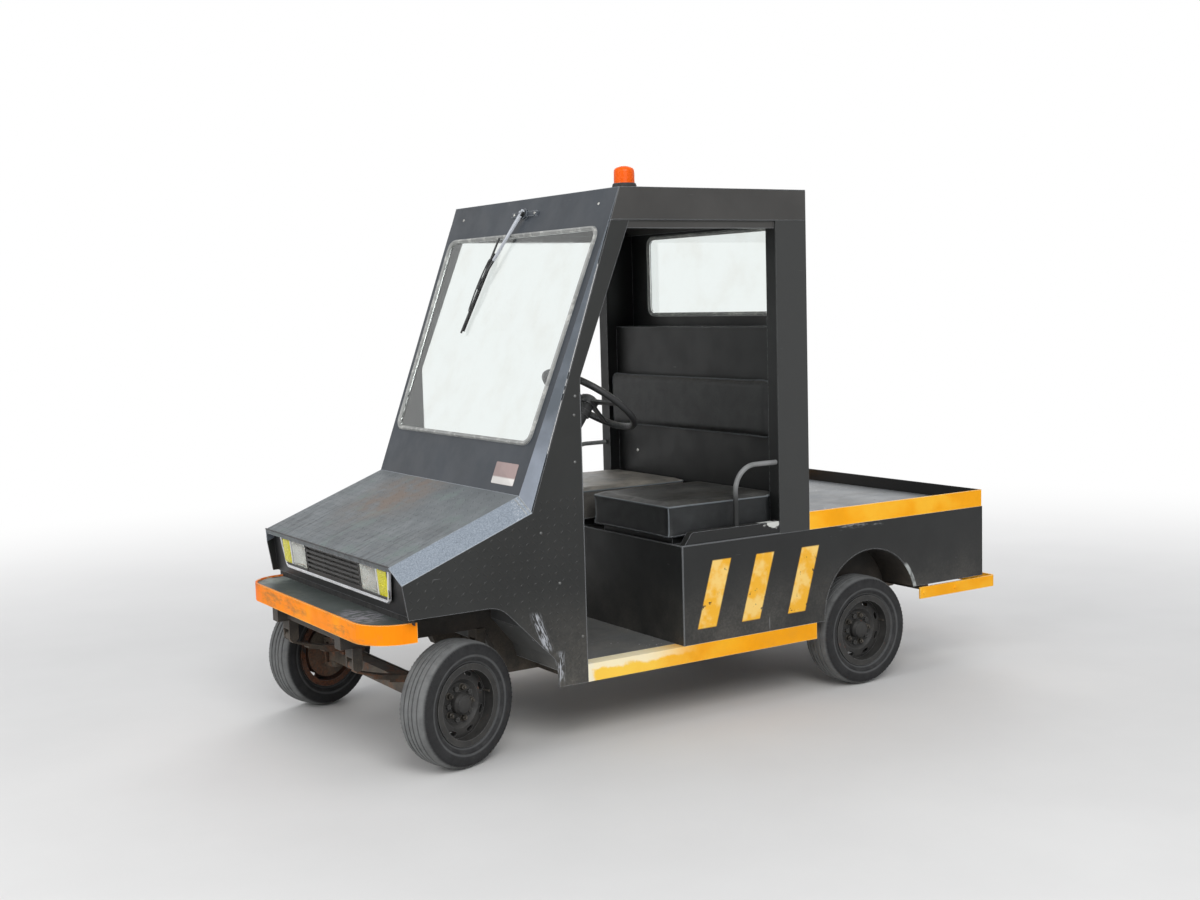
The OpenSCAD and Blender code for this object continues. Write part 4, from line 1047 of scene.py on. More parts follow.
paint = {
    "sheet": black_paint("black body paint", shade(30, 31, 31)).done(),
    "cab wall": wall_paint(),
    "seat box": seat_box_paint(),
    # Pale grey that paints the highlights along the seat box and doorway edges.
    "edge highlight": black_paint("edge highlight paint", shade(84, 86, 87), 0.3).done(),
    "roof": black_paint("roof paint", shade(60, 59, 57), 0.5, 0.5).done(),
    "post": black_paint("post paint", shade(50, 51, 50), 0.5, 0.4).done(),
    "hip tube": tube_paint(),
    "nose": black_paint("nose paint", shade(24, 25, 26), 0.5, 0.3).done(),
    "side": side_paint(),
    "tread": tread_paint(),
    "hood": hood_paint(),
    "pillar": pillar_paint(),
    "bumper": bumper_paint(),
    "sill": sill_paint(),
    "rail": orange_paint("deck rail paint", shade(255, 172, 16), shade(255, 200, 60), 0.2).done(),
    "shelf": shelf_paint(),
    "deck": deck_paint("cargo deck paint", shade(106, 111, 115)),
    "floor": deck_paint("cab floor paint", shade(88, 90, 90)),
    "frame": running_gear("frame paint", shade(36, 34, 32), 0.35),
    "axle": running_gear("axle paint", shade(48, 42, 38), 0.7),
    "wheel": wheel_paint("wheel paint", 0.35),
    "rusty wheel": wheel_paint("rusty wheel paint", 0.95),
    "tyre": tyre_rubber(),
    "seat": vinyl("black seat vinyl", shade(24, 26, 27), shade(72, 75, 76), 0.5, 0.6),
    "grey seat": vinyl("faded seat vinyl", shade(90, 88, 84), shade(146, 140, 130), 0.6, 1.0),
    "pad": vinyl("backrest vinyl", shade(28, 29, 29), shade(62, 62, 62), 0.4, 0.4),
    # Pale blue-grey piping paints the highlights along the cushions' upper seams.
    "piping": vinyl("seat piping with painted highlight", shade(92, 98, 101), shade(150, 156, 158), 0.1, 0.9),
    "gasket": rubber("weathered gasket rubber", shade(150, 151, 148), shade(196, 196, 190), 0.7),
    "black rubber": rubber("black rubber", shade(30, 30, 30), shade(70, 68, 64), 0.4),
    "plastic": moulded("black moulded plastic", shade(30, 31, 32)),
    "bezel": moulded("lamp frame plastic", shade(44, 43, 41), 0.45),
    "battery": moulded("battery case plastic", shade(46, 50, 56)),
    "zinc": steel("zinc fixings", shade(176, 176, 172), 0.35, 0.25),
    "dark fixing": steel("blackened fixings", shade(66, 64, 62), 0.5, 0.4),
    "dull fixing": steel("dulled fixings", shade(118, 119, 118), 0.6, 0.3),
    # Near-white paint stands in for the bright metal trim's reflection.
    "trim": moulded("trim with painted reflection", shade(226, 227, 228), 0.3),
    "arm metal": moulded("wiper arm enamel", shade(186, 190, 196), 0.35),
    "hitch": running_gear("hitch paint", shade(58, 54, 50), 0.75),
    "glass": safety_glass(),
    "clear lens": lamp_lens("clear lamp lens", shade(244, 246, 240)),
    "turn lens": lamp_lens("yellow lamp lens", shade(238, 230, 12), 0.22, 0.3),
    "red lens": lamp_lens("red lamp lens", shade(206, 28, 20), 0.15, 0.6),
    "beacon lens": beacon_lens(),
    "reflector": reflector(),
    "label": blank_label(),
}

NODE_PAINT = {
    "sheet": "tail_panel",
    "cab wall": "cab_rear",
    "seat box": "seat_box",
    "roof": "roof",
    "nose": "nose_panel",
    "side": "body_sides",
    "tread": "front_sides",
    "hood": "hood",
    "pillar": "windshield_frame",
    "bumper": "front_bumper",
    "sill": "sills",
    "rail": "bed_rails rear_bumper",
    "shelf": "front_shelf",
    "deck": "bed_floor",
    "floor": "floor_pan",
    "frame": "frame_rails frame_members spring_hangers wheel_wells",
    "axle": "front_axle rear_axle knuckle_left knuckle_right tie_rod",
    "wheel": "rim_fl rim_rl rim_rr",
    "rusty wheel": "rim_fr",
    "tyre": "tyre_fl tyre_fr tyre_rl tyre_rr",
    "seat": "driver_seat",
    "grey seat": "passenger_seat",
    "pad": "backrest",
    "gasket": "gaskets",
    "plastic": "beacon_base dash steering_column steering_wheel wiper",
    "black rubber": "pedals",
    "bezel": "lamp_bezel",
    "battery": "battery",
    "hip tube": "hip_restraints",
    "hitch": "tow_hitch",
    "glass": "panes",
    "clear lens": "headlamps",
    "turn lens": "turn_lamps",
    "red lens": "tail_lamps",
    "beacon lens": "beacon_lens",
}


def paint_frame():
    """Gives every solid of the frame its finish."""
    for name, nodes in NODE_PAINT.items():
        for node in nodes.split():
            mesh = frame["nodes"][node].data
            mesh.materials.clear()
            mesh.materials.append(paint[name])


# Hood, nose and lamps

def tread_lugs(keep, width, height, pitch=29 * MM, proud=0.9 * MM):
    """Raised lens-shaped lugs of tread plate, slanting each way by turns, where keep(x, y) is true."""
    long_half = 11.5 * MM
    wide_half = 3.2 * MM
    around = [(math.cos(a), math.sin(a)) for a in (math.tau * k / 8 for k in range(8))]
    verts = []
    faces = []
    for row in range(int(height / pitch) + 1):
        for column in range(int(width / pitch) + 1):
            x, y = (column + 0.5) * pitch, (row + 0.5) * pitch
            if not keep(x, y):
                continue
            a = math.radians(45 if (row + column) % 2 else -45)
            cos, sin = math.cos(a), math.sin(a)
            base = len(verts)
            for share, z in ((1.0, 0.0), (0.62, proud)):
                for c, s in around:
                    u, v = long_half * c * share, wide_half * s * share
                    verts.append(Vector((x + u * cos - v * sin, y + u * sin + v * cos, z)))
            for i in range(8):
                j = (i + 1) % 8
                faces.append((base + i, base + j, base + 8 + j, base + 8 + i))
            faces.append(tuple(base + 8 + i for i in range(8)))
    return verts, faces


def hood_lugs():
    margin = 16 * MM
    flat = tread_lugs(lambda x, y: margin < y < 2 * FLAT_Y - margin and x < HOOD_RUN - margin,
        HOOD_RUN, 2 * FLAT_Y)
    bevel_run = math.hypot(BEVEL_W, BEVEL_H)
    slope = tread_lugs(lambda x, y: y < bevel_run - 12 * MM and x < HOOD_RUN - margin, HOOD_RUN, bevel_run)
    normal = ON_HOOD.to_3x3() @ UP
    edge = HOOD_FRONT + Vector((0, FLAT_Y, 0))
    foot = HOOD_FRONT + Vector((0, HALF_W, 0)) - normal * BEVEL_H
    across_bevel = (foot - edge).normalized()
    on_bevel = basis(edge + across_bevel * bevel_run, hood_rise, -across_bevel)
    side = placed(slope, on_bevel)
    shape = join(placed(flat, ON_HOOD @ at(0, -FLAT_Y, 0)), side, mirrored(side))
    piece("hood_lugs", shape, "hood")


def side_lugs():
    """Lugs of the front side panels, kept inside the panel's outline."""
    foot = [(DOOR_X, SILL_Z, 0), (DOOR_X + 0.119, SILL_Z, 0)]
    arch = [(DOOR_X + 0.127, SILL_Z + 0.094, 0.06), (DOOR_X + 0.348, NOSE_FOOT, 0.11)]
    nose = [(1.313, NOSE_FOOT, 0), (1.340, 0.664, 0)]
    outline = rounded(foot + arch + nose + [(0.832, 0.856, 0), (DOOR_X + 0.012, 1.30, 0)])

    def inside(x, z):
        hit = False
        for a, b in zip(outline, outline[1:] + outline[:1]):
            if (a.y > z) != (b.y > z) and x < (b.x - a.x) * (z - a.y) / (b.y - a.y) + a.x:
                hit = not hit
        return hit

    m = 11 * MM
    near = ((m, 0), (-m, 0), (0, m), (0, -m))
    x0, z0 = 1.345, SILL_Z
    lugs = tread_lugs(lambda u, v: all(inside(x0 - u + a, z0 + v + b) for a, b in near),
        0.74, 0.66, 28 * MM, 0.8 * MM)
    left = placed(lugs, ON_LEFT @ at(-x0, z0, 0))
    piece("front_side_lugs", both_sides(left), "tread")


def hood_edges():
    """Rolled bead along the hood's front edge and the welded seam at each rear corner."""
    lip = [ON_HOOD @ Vector((2 * MM, -FLAT_Y + t * 2 * FLAT_Y, 0.5 * MM)) for t in (0, 0.25, 0.5, 0.75, 1)]
    shape = rod(lip, 3.2 * MM, sides=10, up=AHEAD)
    piece("hood_lip_bead", shape, "nose")
    n = ON_HOOD.to_3x3() @ UP
    top = HOOD_REAR + Vector((0, FLAT_Y, 0))
    foot = HOOD_REAR + Vector((0, HALF_W, 0)) - n * BEVEL_H
    welds = []
    for back in (4 * MM, 20 * MM):
        path = []
        for k in range(13):
            t = k / 12
            ripple = 0.5 * MM * math.sin(k * 2.3)
            path.append(top.lerp(foot, 0.03 + t * 0.94) - hood_rise * (back + ripple) + n * 0.6 * MM)
        welds.append(rod(path, 1.6 * MM, up=hood_rise))
    piece("hood_corner_seams", both_sides(join(*welds)), "gasket")


def lamp_openings():
    """(side, inner, outer) of each lamp window across the nose."""
    beams = [(side, BEAM_INNER, BEAM_OUTER) for side in (-1, 1)]
    turns = [(side, TURN_INNER, TURN_OUTER) for side in (-1, 1)]
    return beams, turns


def window_place(side, inner, outer, z):
    return ON_NOSE @ at(side * (inner + outer) / 2, WINDOW_TOP + WINDOW_H / 2, z)


def ribbed_lens(w, h, z0, z1, pitch, ribs_along):
    """A moulded lens: a crowned plate with flutes moulded across its face."""
    nx, ny = max(8, int(w / pitch * 6)), 22
    if ribs_along == "x":
        nx, ny = 30, max(8, int(h / pitch * 6))
    top = []
    bottom = []
    for j in range(ny + 1):
        v = -1 + 2 * j / ny
        for i in range(nx + 1):
            u = -1 + 2 * i / nx
            x, y = u * w / 2, v * h / 2
            crown = (1 - u ** 6) * (1 - v ** 6)
            phase = x if ribs_along == "y" else y
            flute = 0.55 * MM * math.cos(math.tau * phase / pitch)
            top.append(Vector((x, y, z0 + (z1 - z0) * (0.45 + 0.55 * crown) + flute * crown)))
            bottom.append(Vector((x, y, z0)))
    verts = top + bottom
    faces = []
    row = nx + 1
    half = len(top)
    for j in range(ny):
        for i in range(nx):
            a = j * row + i
            faces.append((a, a + 1, a + row + 1, a + row))
            faces.append((half + a, half + a + row, half + a + row + 1, half + a + 1))
    rim = list(range(row)) + [j * row + nx for j in range(1, ny + 1)]
    rim += [ny * row + i for i in range(nx - 1, -1, -1)] + [j * row for j in range(ny - 1, 0, -1)]
    for a, b in zip(rim, rim[1:] + rim[:1]):
        faces.append((a, half + a, half + b, b))
    return verts, faces


def dished_reflector(w, h, depth):
    """A shallow bowl with square corners and a lamp seat in its middle."""
    n = 60
    verts = []
    faces = []
    for j in range(n + 1):
        for i in range(n + 1):
            u, v = -1 + 2 * i / n, -1 + 2 * j / n
            r = min(1.0, math.hypot(u, v * 0.9))
            flute = 0.09 * math.cos(math.tau * i / n * w / (15 * MM))
            z = depth * (0.12 + flute + 0.79 * r * r) if r > 0.12 else 0
            verts.append(Vector((u * w / 2, v * h / 2, z)))
    for j in range(n):
        for i in range(n):
            a = j * (n + 1) + i
            faces.append((a, a + 1, a + n + 2, a + n + 1))
    return verts, faces


def lamps():
    beams, turns = lamp_openings()
    backs = []
    clear = []
    yellow = []
    bulbs = []
    bulb = turned(mm((0, 3), (7, 3), (8, 6), (6.5, 9), (3, 10.5), (0, 11)), 20)
    for openings, lenses, foot, top, pitch, ribs_along in (
            (beams, clear, 11.5, 17, 8.5, "y"), (turns, yellow, 12, 19, 6, "x")):
        for side, inner, outer in openings:
            w = outer - inner - 2 * MM
            place = window_place(side, inner, outer, 0)
            reflector_place = window_place(side, inner, outer, 2.6 * MM)
            backs.append(placed(dished_reflector(w, WINDOW_H - 2 * MM, 8 * MM), reflector_place))
            lens = ribbed_lens(w, WINDOW_H - 2 * MM, foot * MM, top * MM, pitch * MM, ribs_along)
            lenses.append(placed(lens, place))
            if openings is beams:
                bulbs.append(placed(bulb, place))
    piece("lamp_reflectors", join(*backs), "reflector", smooth=50)
    piece("lamp_bulbs", join(*bulbs), "zinc")
    lenses = piece("headlamp_lenses", join(*clear), "clear lens", smooth=50)
    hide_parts("headlamps")
    lenses = piece("turn_lamp_lenses", join(*yellow), "turn lens", smooth=50)
    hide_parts("turn_lamps")


def nose_trim():
    """Bright strip round the lamp frame, and its dividers between the lamps, painted near-white for the
    reflection of their metal.
    """
    line = mm((-493, 30), (-465, 136), (-455, 144), (455, 144), (465, 136), (493, 30))
    path = [ON_NOSE @ Vector((x, y, 12 * MM)) for x, y in line]
    section = mm((-6, -6), (6, -6), (6, 2), (3.5, 4.5), (-3.5, 4.5), (-6, 2))
    out = ON_NOSE.to_3x3() @ UP
    strip = swept(path, section, up=out)
    divider = plate(box_line(9 * MM, WINDOW_H, 1 * MM, 2), 10 * MM, 17 * MM, 1.5 * MM)
    middle = WINDOW_TOP + WINDOW_H / 2
    dividers = spread(divider, [ON_NOSE @ at(x, middle, 0) for x in (-DIVIDER_X, DIVIDER_X)])
    piece("nose_trim_strip", join(strip, dividers), "trim", smooth=40)


def lamp_frame_lips():
    """Raised lip round each lamp window."""
    beams, turns = lamp_openings()
    lips = []
    for side, inner, outer in beams + turns:
        outer_line = box_line(outer - inner + 5 * MM, WINDOW_H + 5 * MM, 4 * MM, 3)
        path = [Vector((p.x, p.y, 14.3 * MM)) for p in outer_line]
        lips.append(placed(rod(path, 1.8 * MM, closed=True), window_place(side, inner, outer, 0)))
    piece("lamp_frame_lips", join(*lips), "bezel")


def grille_bars():
    """Level bars across the grille, with uprights behind them."""
    out = ON_NOSE.to_3x3() @ UP
    bars = []
    for k in range(4):
        y = GRILLE_TOP + k * GRILLE_PITCH
        path = [ON_NOSE @ Vector((x, y, 14 * MM)) for x in (-GRILLE_HALF, 0, GRILLE_HALF)]
        bars.append(rod(path, 2.2 * MM, up=out))
    for x in (-160, -80, 0, 80, 160):
        path = [ON_NOSE @ Vector((x * MM, y * MM, 8 * MM)) for y in (36, 80, 124)]
        bars.append(rod(path, 2.0 * MM, up=out))
    piece("grille_bars", join(*bars), "bezel")


def lamp_frame_screws():
    screws = [ON_NOSE @ at(x, y, 14 * MM) for x, y in mm(
        (-480, 34), (-244, 32), (244, 32), (480, 34), (-244, 132), (244, 132))]
    piece("lamp_frame_screws", spread(slot_head(4 * MM, 2.2 * MM), screws), "dark fixing")


def nose_flap():
    """Rubber flap between the nose panel and the bumper shelf."""
    shelf_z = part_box("front_shelf")[1].z
    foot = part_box("nose_panel")[0]
    rise = foot.z + 26 * MM - shelf_z
    flap = [(-1 * MM, 0.0), (2 * MM, 0.0), (4 * MM, rise), (1 * MM, rise)]
    reach = HALF_W - 12 * MM
    stations = (-reach, -reach / 2, 0.0, reach / 2, reach)
    rings = [[(foot.x - 3 * MM + a, y, shelf_z + b) for a, b in flap] for y in stations]
    piece("nose_flap", ringed(rings), "black rubber")


# Windshield, rear window, wiper and cowl

def pane_line(margin, r):
    """The windshield's outline drawn in by a margin."""
    top = PANE_TOP + margin
    foot = PANE_TOP + PANE_RUN - margin
    top_half = PANE_TOP_HALF - margin
    foot_half = PANE_FOOT_HALF - margin
    corners = ((-top_half, top), (top_half, top), (foot_half, foot), (-foot_half, foot))
    return rounded([(x, y, r) for x, y in corners], 7)


def window_beads():
    """Round lips and a locking strip of the rubber round both panes."""
    front = []
    out = ON_GLASS.to_3x3() @ UP
    for margin, r, z, thick in mm((7, 40, 5.5, 5.2), (13.5, 35, 4.6, 2.2)):
        path = [ON_GLASS @ Vector((p.x, p.y, z)) for p in pane_line(margin, r)]
        front.append(rod(path, thick, sides=10, closed=True, up=out))
    path = [ON_GLASS @ Vector((p.x, p.y, -8 * MM)) for p in pane_line(7 * MM, 40 * MM)]
    front.append(rod(path, 4.5 * MM, closed=True, up=out))
    back = []
    w, z0, h = REAR_PANE_W, REAR_PANE_Z, REAR_PANE_H
    m = 7 * MM
    r = 35 * MM
    line = rounded([(-w / 2 + m, z0 + m, r), (w / 2 - m, z0 + m, r), (w / 2 - m, z0 + h - m, r),
        (-w / 2 + m, z0 + h - m, r)], 7)
    for x in (POST_REAR_X - 4.5 * MM, POST_REAR_X + 9.5 * MM):
        back.append(rod([Vector((x, p.x, p.y)) for p in line], 5 * MM, sides=10, closed=True, up=AHEAD))
    piece("window_rubber_lips", join(*front, *back), "gasket")


def pillar_fixings():
    """Screws at the windshield's upper corners and beside the wiper's bearing."""
    places = [ON_GLASS @ at(*step) for step in mm((-514, 58, 0), (514, 58, 0), (-78, 66, 6), (78, 66, 6))]
    piece("windshield_screws", spread(dome_head(6 * MM, 3 * MM), places), "zinc")


def blank_plate():
    """Blank label on the cowl, by the driver."""
    shape = slab(158, 80, 5, 0, 0.8, 0.3)
    piece("cowl_label", placed(shape, ON_GLASS @ at(-LABEL_OUT, LABEL_DOWN, 0.1 * MM)), "label")


def wiper_swing():
    """The wiper's place on its spindle, with local Y along the arm."""
    return ON_GLASS @ at(0, SPINDLE_DOWN, 0) @ spun(-WIPER_REST)


def wiper_arm_cover():
    """Cover of the arm and its spring, and the nut on the spindle."""
    swing = wiper_swing()
    near_side = mm((9, -14, 6), (8, 70, 3), (5.6, 110, 3))
    far_side = [(-x, y, r) for x, y, r in reversed(near_side)]
    end = [(5.6 * MM, WIPER_ARM * 0.66, 2 * MM), (-5.6 * MM, WIPER_ARM * 0.66, 2 * MM)]
    channel = rounded(far_side[-1:] + near_side + end + far_side[:-1], 4)
    cover = placed(plate(channel, 15 * MM, 24.5 * MM, 2.5 * MM), swing)
    nut = placed(hex_head(8 * MM, 6 * MM), swing @ at(0, 0, 24 * MM))
    piece("wiper_arm_cover", join(cover, nut), "arm metal", body="wiper")


def wiper_blade():
    """Sprung bow on the arm's end, and the rubber that wipes."""
    blade = wiper_swing() @ at(0, WIPER_ARM, 0) @ spun(BLADE_TURN)
    middle = placed(slab(15, 34, 4, 12, 24, 2), blade)
    ends = spread(slab(12, 12, 3, 10.5, 19, 2), [blade @ at(0, y, 0) for y in (-105 * MM, 105 * MM)])
    bow = [blade @ Vector((0, t * 105 * MM, (24 - 5 * t * t) * MM)) for t in [k / 8 for k in range(-8, 9)]]
    parts = join(middle, ends, rod(bow, 3 * MM, up=ON_GLASS.to_3x3() @ UP))
    piece("wiper_fittings", parts, "plastic", body="wiper")
    squeegee = mm((-3.5, 11), (-3, 8), (-0.9, 7), (-0.5, 2), (0.5, 2), (0.9, 7), (3, 8), (3.5, 11))
    rings = [[(x, y, z) for x, z in squeegee] for y in (-138 * MM, 0, 190 * MM)]
    piece("wiper_rubber", placed(ringed(rings), blade), "black rubber", body="wiper")


def wiper_motor():
    """The wiper's motor and its bracket, behind the header."""
    case = turned(mm((0, -58), (26, -58), (29, -54), (29, -12), (24, -9), (0, -9)), 24)
    motor = join(case, placed(slab(86, 46, 10, -30, -8, 3), at(-38 * MM, 0, 0)))
    piece("wiper_motor", placed(motor, ON_GLASS @ at(0, SPINDLE_DOWN, 0)), "dark fixing")


# Cab

def steering_trim():
    """Horn button, spoke ribs and finger bumps of the steering wheel."""
    hub = basis(WHEEL_HUB, Vector((math.cos(COLUMN_TILT), 0, math.sin(COLUMN_TILT))), LEFT)
    button = turned(mm((32, 3), (33, 6), (30, 9), (26, 9.5), (25, 12.5), (18, 15.5), (8, 17), (0, 17.4)), 36)
    rib_line = rounded(mm((26, -6, 2), (176, -4, 2), (176, 4, 2), (26, 6, 2)), 3)
    rib = plate(rib_line, -2.2 * MM, 2 * MM, 1.4 * MM)
    ribs = spread(rib, [hub @ spun(math.radians(a)) for a in (90, 210, 330)])
    trim = join(placed(button, hub), ribs)
    piece("steering_wheel_trim", trim, "plastic", body="steering_wheel")
    grip = turned(mm((8.5, 0), (7.6, 1.9), (4.5, 3.2), (0, 3.6)), 10)
    inward = Matrix.Rotation(math.pi / 2, 4, "Y")
    over = Matrix.Rotation(math.pi, 4, "X")
    places = [hub @ spun(math.tau * k / GRIPS) @ at(GRIP_R, 0, 0) @ inward @ over for k in range(GRIPS)]
    piece("steering_wheel_grips", spread(grip, places), "plastic", body="steering_wheel")


def dash_fittings():
    """A charge gauge, a key switch and two rocker switches on the instrument shelf."""
    lo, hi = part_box("dash")
    slope = Vector((0.34, 0, 0.94)).normalized()
    place = basis(Vector((lo.x + 1 * MM, DRIVER_Y, hi.z - 38 * MM)), -LEFT, slope)
    ring = turned(mm((26, -2), (27, 3), (24, 5), (22, 2), (0, 2)), 36)
    rockers = spread(slab(20, 32, 3, -2, 4, 1.5), [place @ at(k * 46 * MM, 0, 0) for k in (1, 2)])
    key = turned(mm((13, -2), (13, 3), (10, 5), (0, 5)), 24)
    shape = join(placed(ring, place), rockers, placed(key, place @ at(-48 * MM, 0, 0)))
    piece("dash_fittings", shape, "plastic")


def pedal_rubbers():
    """Ribbed rubber pads on both pedals."""
    face_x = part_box("pedals")[0].x + 16.5 * MM
    slope = Vector((0.033, 0, 0.060)).normalized()
    rows = [at(0, k * 8 * MM, 2 * MM) for k in range(-3, 4)]
    pedals = [basis(Vector((face_x, y, PEDAL_Z)), -LEFT, slope) for y in PEDAL_YS]
    pads = spread(slab(60, 5, 1.5, -1, 3, 1), [pedal @ row for pedal in pedals for row in rows])
    piece("pedal_pads", pads, "black rubber")


def blown(obj):
    cloth = obj.modifiers.new("padding", "CLOTH")
    cloth.settings.use_pressure = True
    cloth.settings.uniform_pressure_force = 4.0
    cloth.settings.effector_weights.gravity = 0.0
    cloth.settings.quality = 5
    cloth.collision_settings.use_collision = False
    cloth.settings.tension_stiffness = 15
    cloth.settings.bending_stiffness = 1.5
    for f in range(1, 21):
        bpy.context.scene.frame_set(f)
    shown = obj.evaluated_get(bpy.context.evaluated_depsgraph_get())
    out = [v.co.copy() for v in shown.data.vertices]
    obj.modifiers.remove(cloth)
    bpy.context.scene.frame_set(1)
    return out


def even_form(name, line, depth):
    """A block on an outline, its edges eased and its skin remeshed evenly."""
    edge = 7 * MM
    foot = [(edge, 0), (edge * 0.3, edge * 0.3), (0, edge)]
    head = [(0, depth - edge), (edge * 0.3, depth - edge * 0.3), (edge, depth)]
    rings = [[(p.x, p.y, z) for p in drawn_in(line, d)] for d, z in foot + head]
    verts, faces = ringed(rings)
    mesh = bpy.data.meshes.new(name)
    mesh.from_pydata(verts, [], faces)
    obj = bpy.data.objects.new(name, mesh)
    bpy.context.scene.collection.objects.link(obj)
    for other in bpy.context.selected_objects:
        other.select_set(False)
    bpy.context.view_layer.objects.active = obj
    obj.select_set(True)
    remesh = obj.modifiers.new("even skin", "REMESH")
    remesh.mode = "VOXEL"
    remesh.voxel_size = 8 * MM
    bpy.ops.object.modifier_apply(modifier=remesh.name)
    return obj


def padded_form(name, line, depth, place, crown, bulge, levels):
    """A crowned pad on an outline: blown up as cloth, capped, and drawn in along its seams."""
    seam_reach = 15 * MM
    seam_depth = 5 * MM
    corner_reach = 130 * MM
    obj = even_form(name, line, depth)
    start = [v.co.copy() for v in obj.data.vertices]
    stitched = [(Vector((p.x, p.y, z)), (q - p)) for z in levels for p, q in zip(line, drawn_in(line, 1.0))]
    corners = [Vector((x, y)) for x in (min(p.x for p in line), max(p.x for p in line))
        for y in (min(p.y for p in line), max(p.y for p in line))]
    tree = KDTree(len(stitched))
    for i, (p, _) in enumerate(stitched):
        tree.insert(p, i)
    tree.balance()
    for v, a, b in zip(obj.data.vertices, start, blown(obj)):
        move = b - a
        _, i, far = tree.find(a)
        near = math.exp(-(far / seam_reach) ** 2)
        inward = stitched[i][1].normalized()
        free = min(1.0, min((Vector(a[:2]) - c).length for c in corners) / corner_reach)
        side = (bulge * math.tanh(move[k] / bulge) * (1 - near) for k in (0, 1))
        v.co = a + Vector((*side, crown * math.tanh(max(0.0, move.z) / crown) * (1 - 0.7 * near)))
        v.co += Vector((inward.x, inward.y, 0)) * (seam_depth * near * free)
        v.co.z = max(v.co.z, 0.4 * MM)
    smooth = obj.modifiers.new("finer skin", "SUBSURF")
    smooth.levels = 1
    smooth.render_levels = 1
    bpy.ops.object.modifier_apply(modifier=smooth.name)
    obj.data.transform(place)
    obj.data.polygons.foreach_set("use_smooth", [True] * len(obj.data.polygons))
    return obj


def skin_of(pad):
    """A pad's surface, ready to be searched for the point nearest to another."""
    return BVHTree.FromPolygons([v.co for v in pad.data.vertices], [p.vertices for p in pad.data.polygons])


def seam(pad, path, r):
    """Piping laid on a cushion's skin along a rough path."""
    skin = skin_of(pad)
    line = []
    for p in path:
        hit, normal, _, _ = skin.find_nearest(p)
        line.append(hit + normal * (r * 0.35))
    count = len(line)
    for _ in range(2):
        line = [(line[i - 1] + line[i] * 2 + line[(i + 1) % count]) / 4 for i in range(count)]
    return rod(line, r, closed=True)


def stepped(line, pitch):
    """A closed outline with points spaced along it."""
    points = []
    for a, b in zip(line, line[1:] + line[:1]):
        count = max(1, round((b - a).length / pitch))
        points += [a + (b - a) * (k / count) for k in range(count)]
    return points


def seat_outline(lo, hi, side, inset):
    """A seat cushion in plan, notched round the rear post."""
    outer = side * max(abs(lo.y), abs(hi.y)) - side * inset
    inner = side * min(abs(lo.y), abs(hi.y)) + side * inset
    notch_x = POST_X + 6 * MM + inset
    notch_y = side * (HALF_W - 66 * MM - inset)
    back = lo.x + inset
    front = hi.x - inset
    line = rounded([(back, inner, 22 * MM), (front, inner, 18 * MM), (front, outer, 18 * MM),
        (notch_x, outer, 8 * MM), (notch_x, notch_y, 5 * MM), (back, notch_y, 14 * MM)])
    return stepped(anticlockwise(line), 7 * MM)


def cushions():
    """Both box cushions, with piping round their seams."""
    for node, finish, side in (("driver_seat", "seat", 1), ("passenger_seat", "grey seat", -1)):
        lo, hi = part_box(node)
        line = seat_outline(lo, hi, side, 3 * MM)
        place = at(0, 0, lo.z)
        depth = hi.z - lo.z - 3 * MM
        levels = (9 * MM, depth - 4 * MM)
        pad = padded_form(node + "_cushion", line, depth, place, 10 * MM, 5 * MM, levels)
        pad.data.materials.append(paint[finish])
        low, high = (seam(pad, [Vector((p.x, p.y, lo.z + z)) for p in line], 3.2 * MM) for z in levels)
        # The upper piping is pale: painted highlights along the seams.
        trim = piece(node + "_piping", join(high, corner_seams(pad, lo, hi)), "piping")
        piece(node + "_foot_piping", low, finish).parent = pad
        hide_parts(node)
        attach(pad, "chassis")
        trim.parent = pad


def backrest():
    """The long pad of the backrest, piped round its face."""
    lo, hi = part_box("backrest")
    inset = 3 * MM
    line = stepped(box_line(hi.y - lo.y - 2 * inset, hi.z - lo.z - 2 * inset, 26 * MM), 8 * MM)
    place = basis(Vector((lo.x, (lo.y + hi.y) / 2, (lo.z + hi.z) / 2)), LEFT, UP)
    depth = hi.x - lo.x - 6 * MM
    pad = padded_form("backrest_pad", line, depth, place, 9 * MM, 4 * MM, (depth - 6 * MM,))
    pad.data.materials.append(paint["pad"])
    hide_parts("backrest")
    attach(pad, "chassis")
    pipe = seam(pad, [place @ Vector((p.x, p.y, depth - 6 * MM)) for p in line], 3 * MM)
    piece("backrest_piping", pipe, "pad").parent = pad


def corner_seams(pad, lo, hi):
    """Upright seams at a cushion's front corners."""
    skin = skin_of(pad)
    shapes = []
    for y in (lo.y, hi.y):
        line = []
        for k in range(10):
            z = lo.z + 9 * MM + (hi.z - lo.z - 16 * MM) * k / 9
            hit, normal, _, _ = skin.find_nearest(Vector((hi.x, y, z)))
            line.append(hit + normal * 0.8 * MM)
        shapes.append(rod(line, 2.6 * MM, up=AHEAD))
    return join(*shapes)


# Body fixings, edges and wheel wells

def side_rivets():
    rivets = [on_side(1, x, z) for x, z in (
        (0.800, 0.783), (0.730, 0.599), (0.642, 0.398), (0.654, 1.018), (0.652, 1.182), (0.646, 1.248))]
    piece("side_rivets", both_sides(spread(dome_head(5.5 * MM, 3 * MM), rivets)), "dull fixing")


def tail_bolts():
    """Painted bolts in two rows across the tail panel."""
    columns = (-0.52, -0.26, 0.0, 0.26, 0.52)
    rows = (DECK_Z - 30 * MM, 0.40)
    bolts = [ON_TAIL @ at(-y, z, 0) for y in columns for z in rows]
    piece("tail_bolts", spread(hex_head(8 * MM, 6 * MM), bolts), "sheet")


def board_bolts():
    """Bolts of the backrest's board."""
    board_x = POST_X - 55 * MM + SHEET
    face = basis(Vector((board_x, 0, 0)), LEFT, UP)
    places = [face @ at(y, BOARD_BOLT_Z, 0) for y in (-BOARD_BOLT_Y, BOARD_BOLT_Y)]
    piece("board_bolts", spread(dome_head(8 * MM, 4 * MM), places), "zinc")


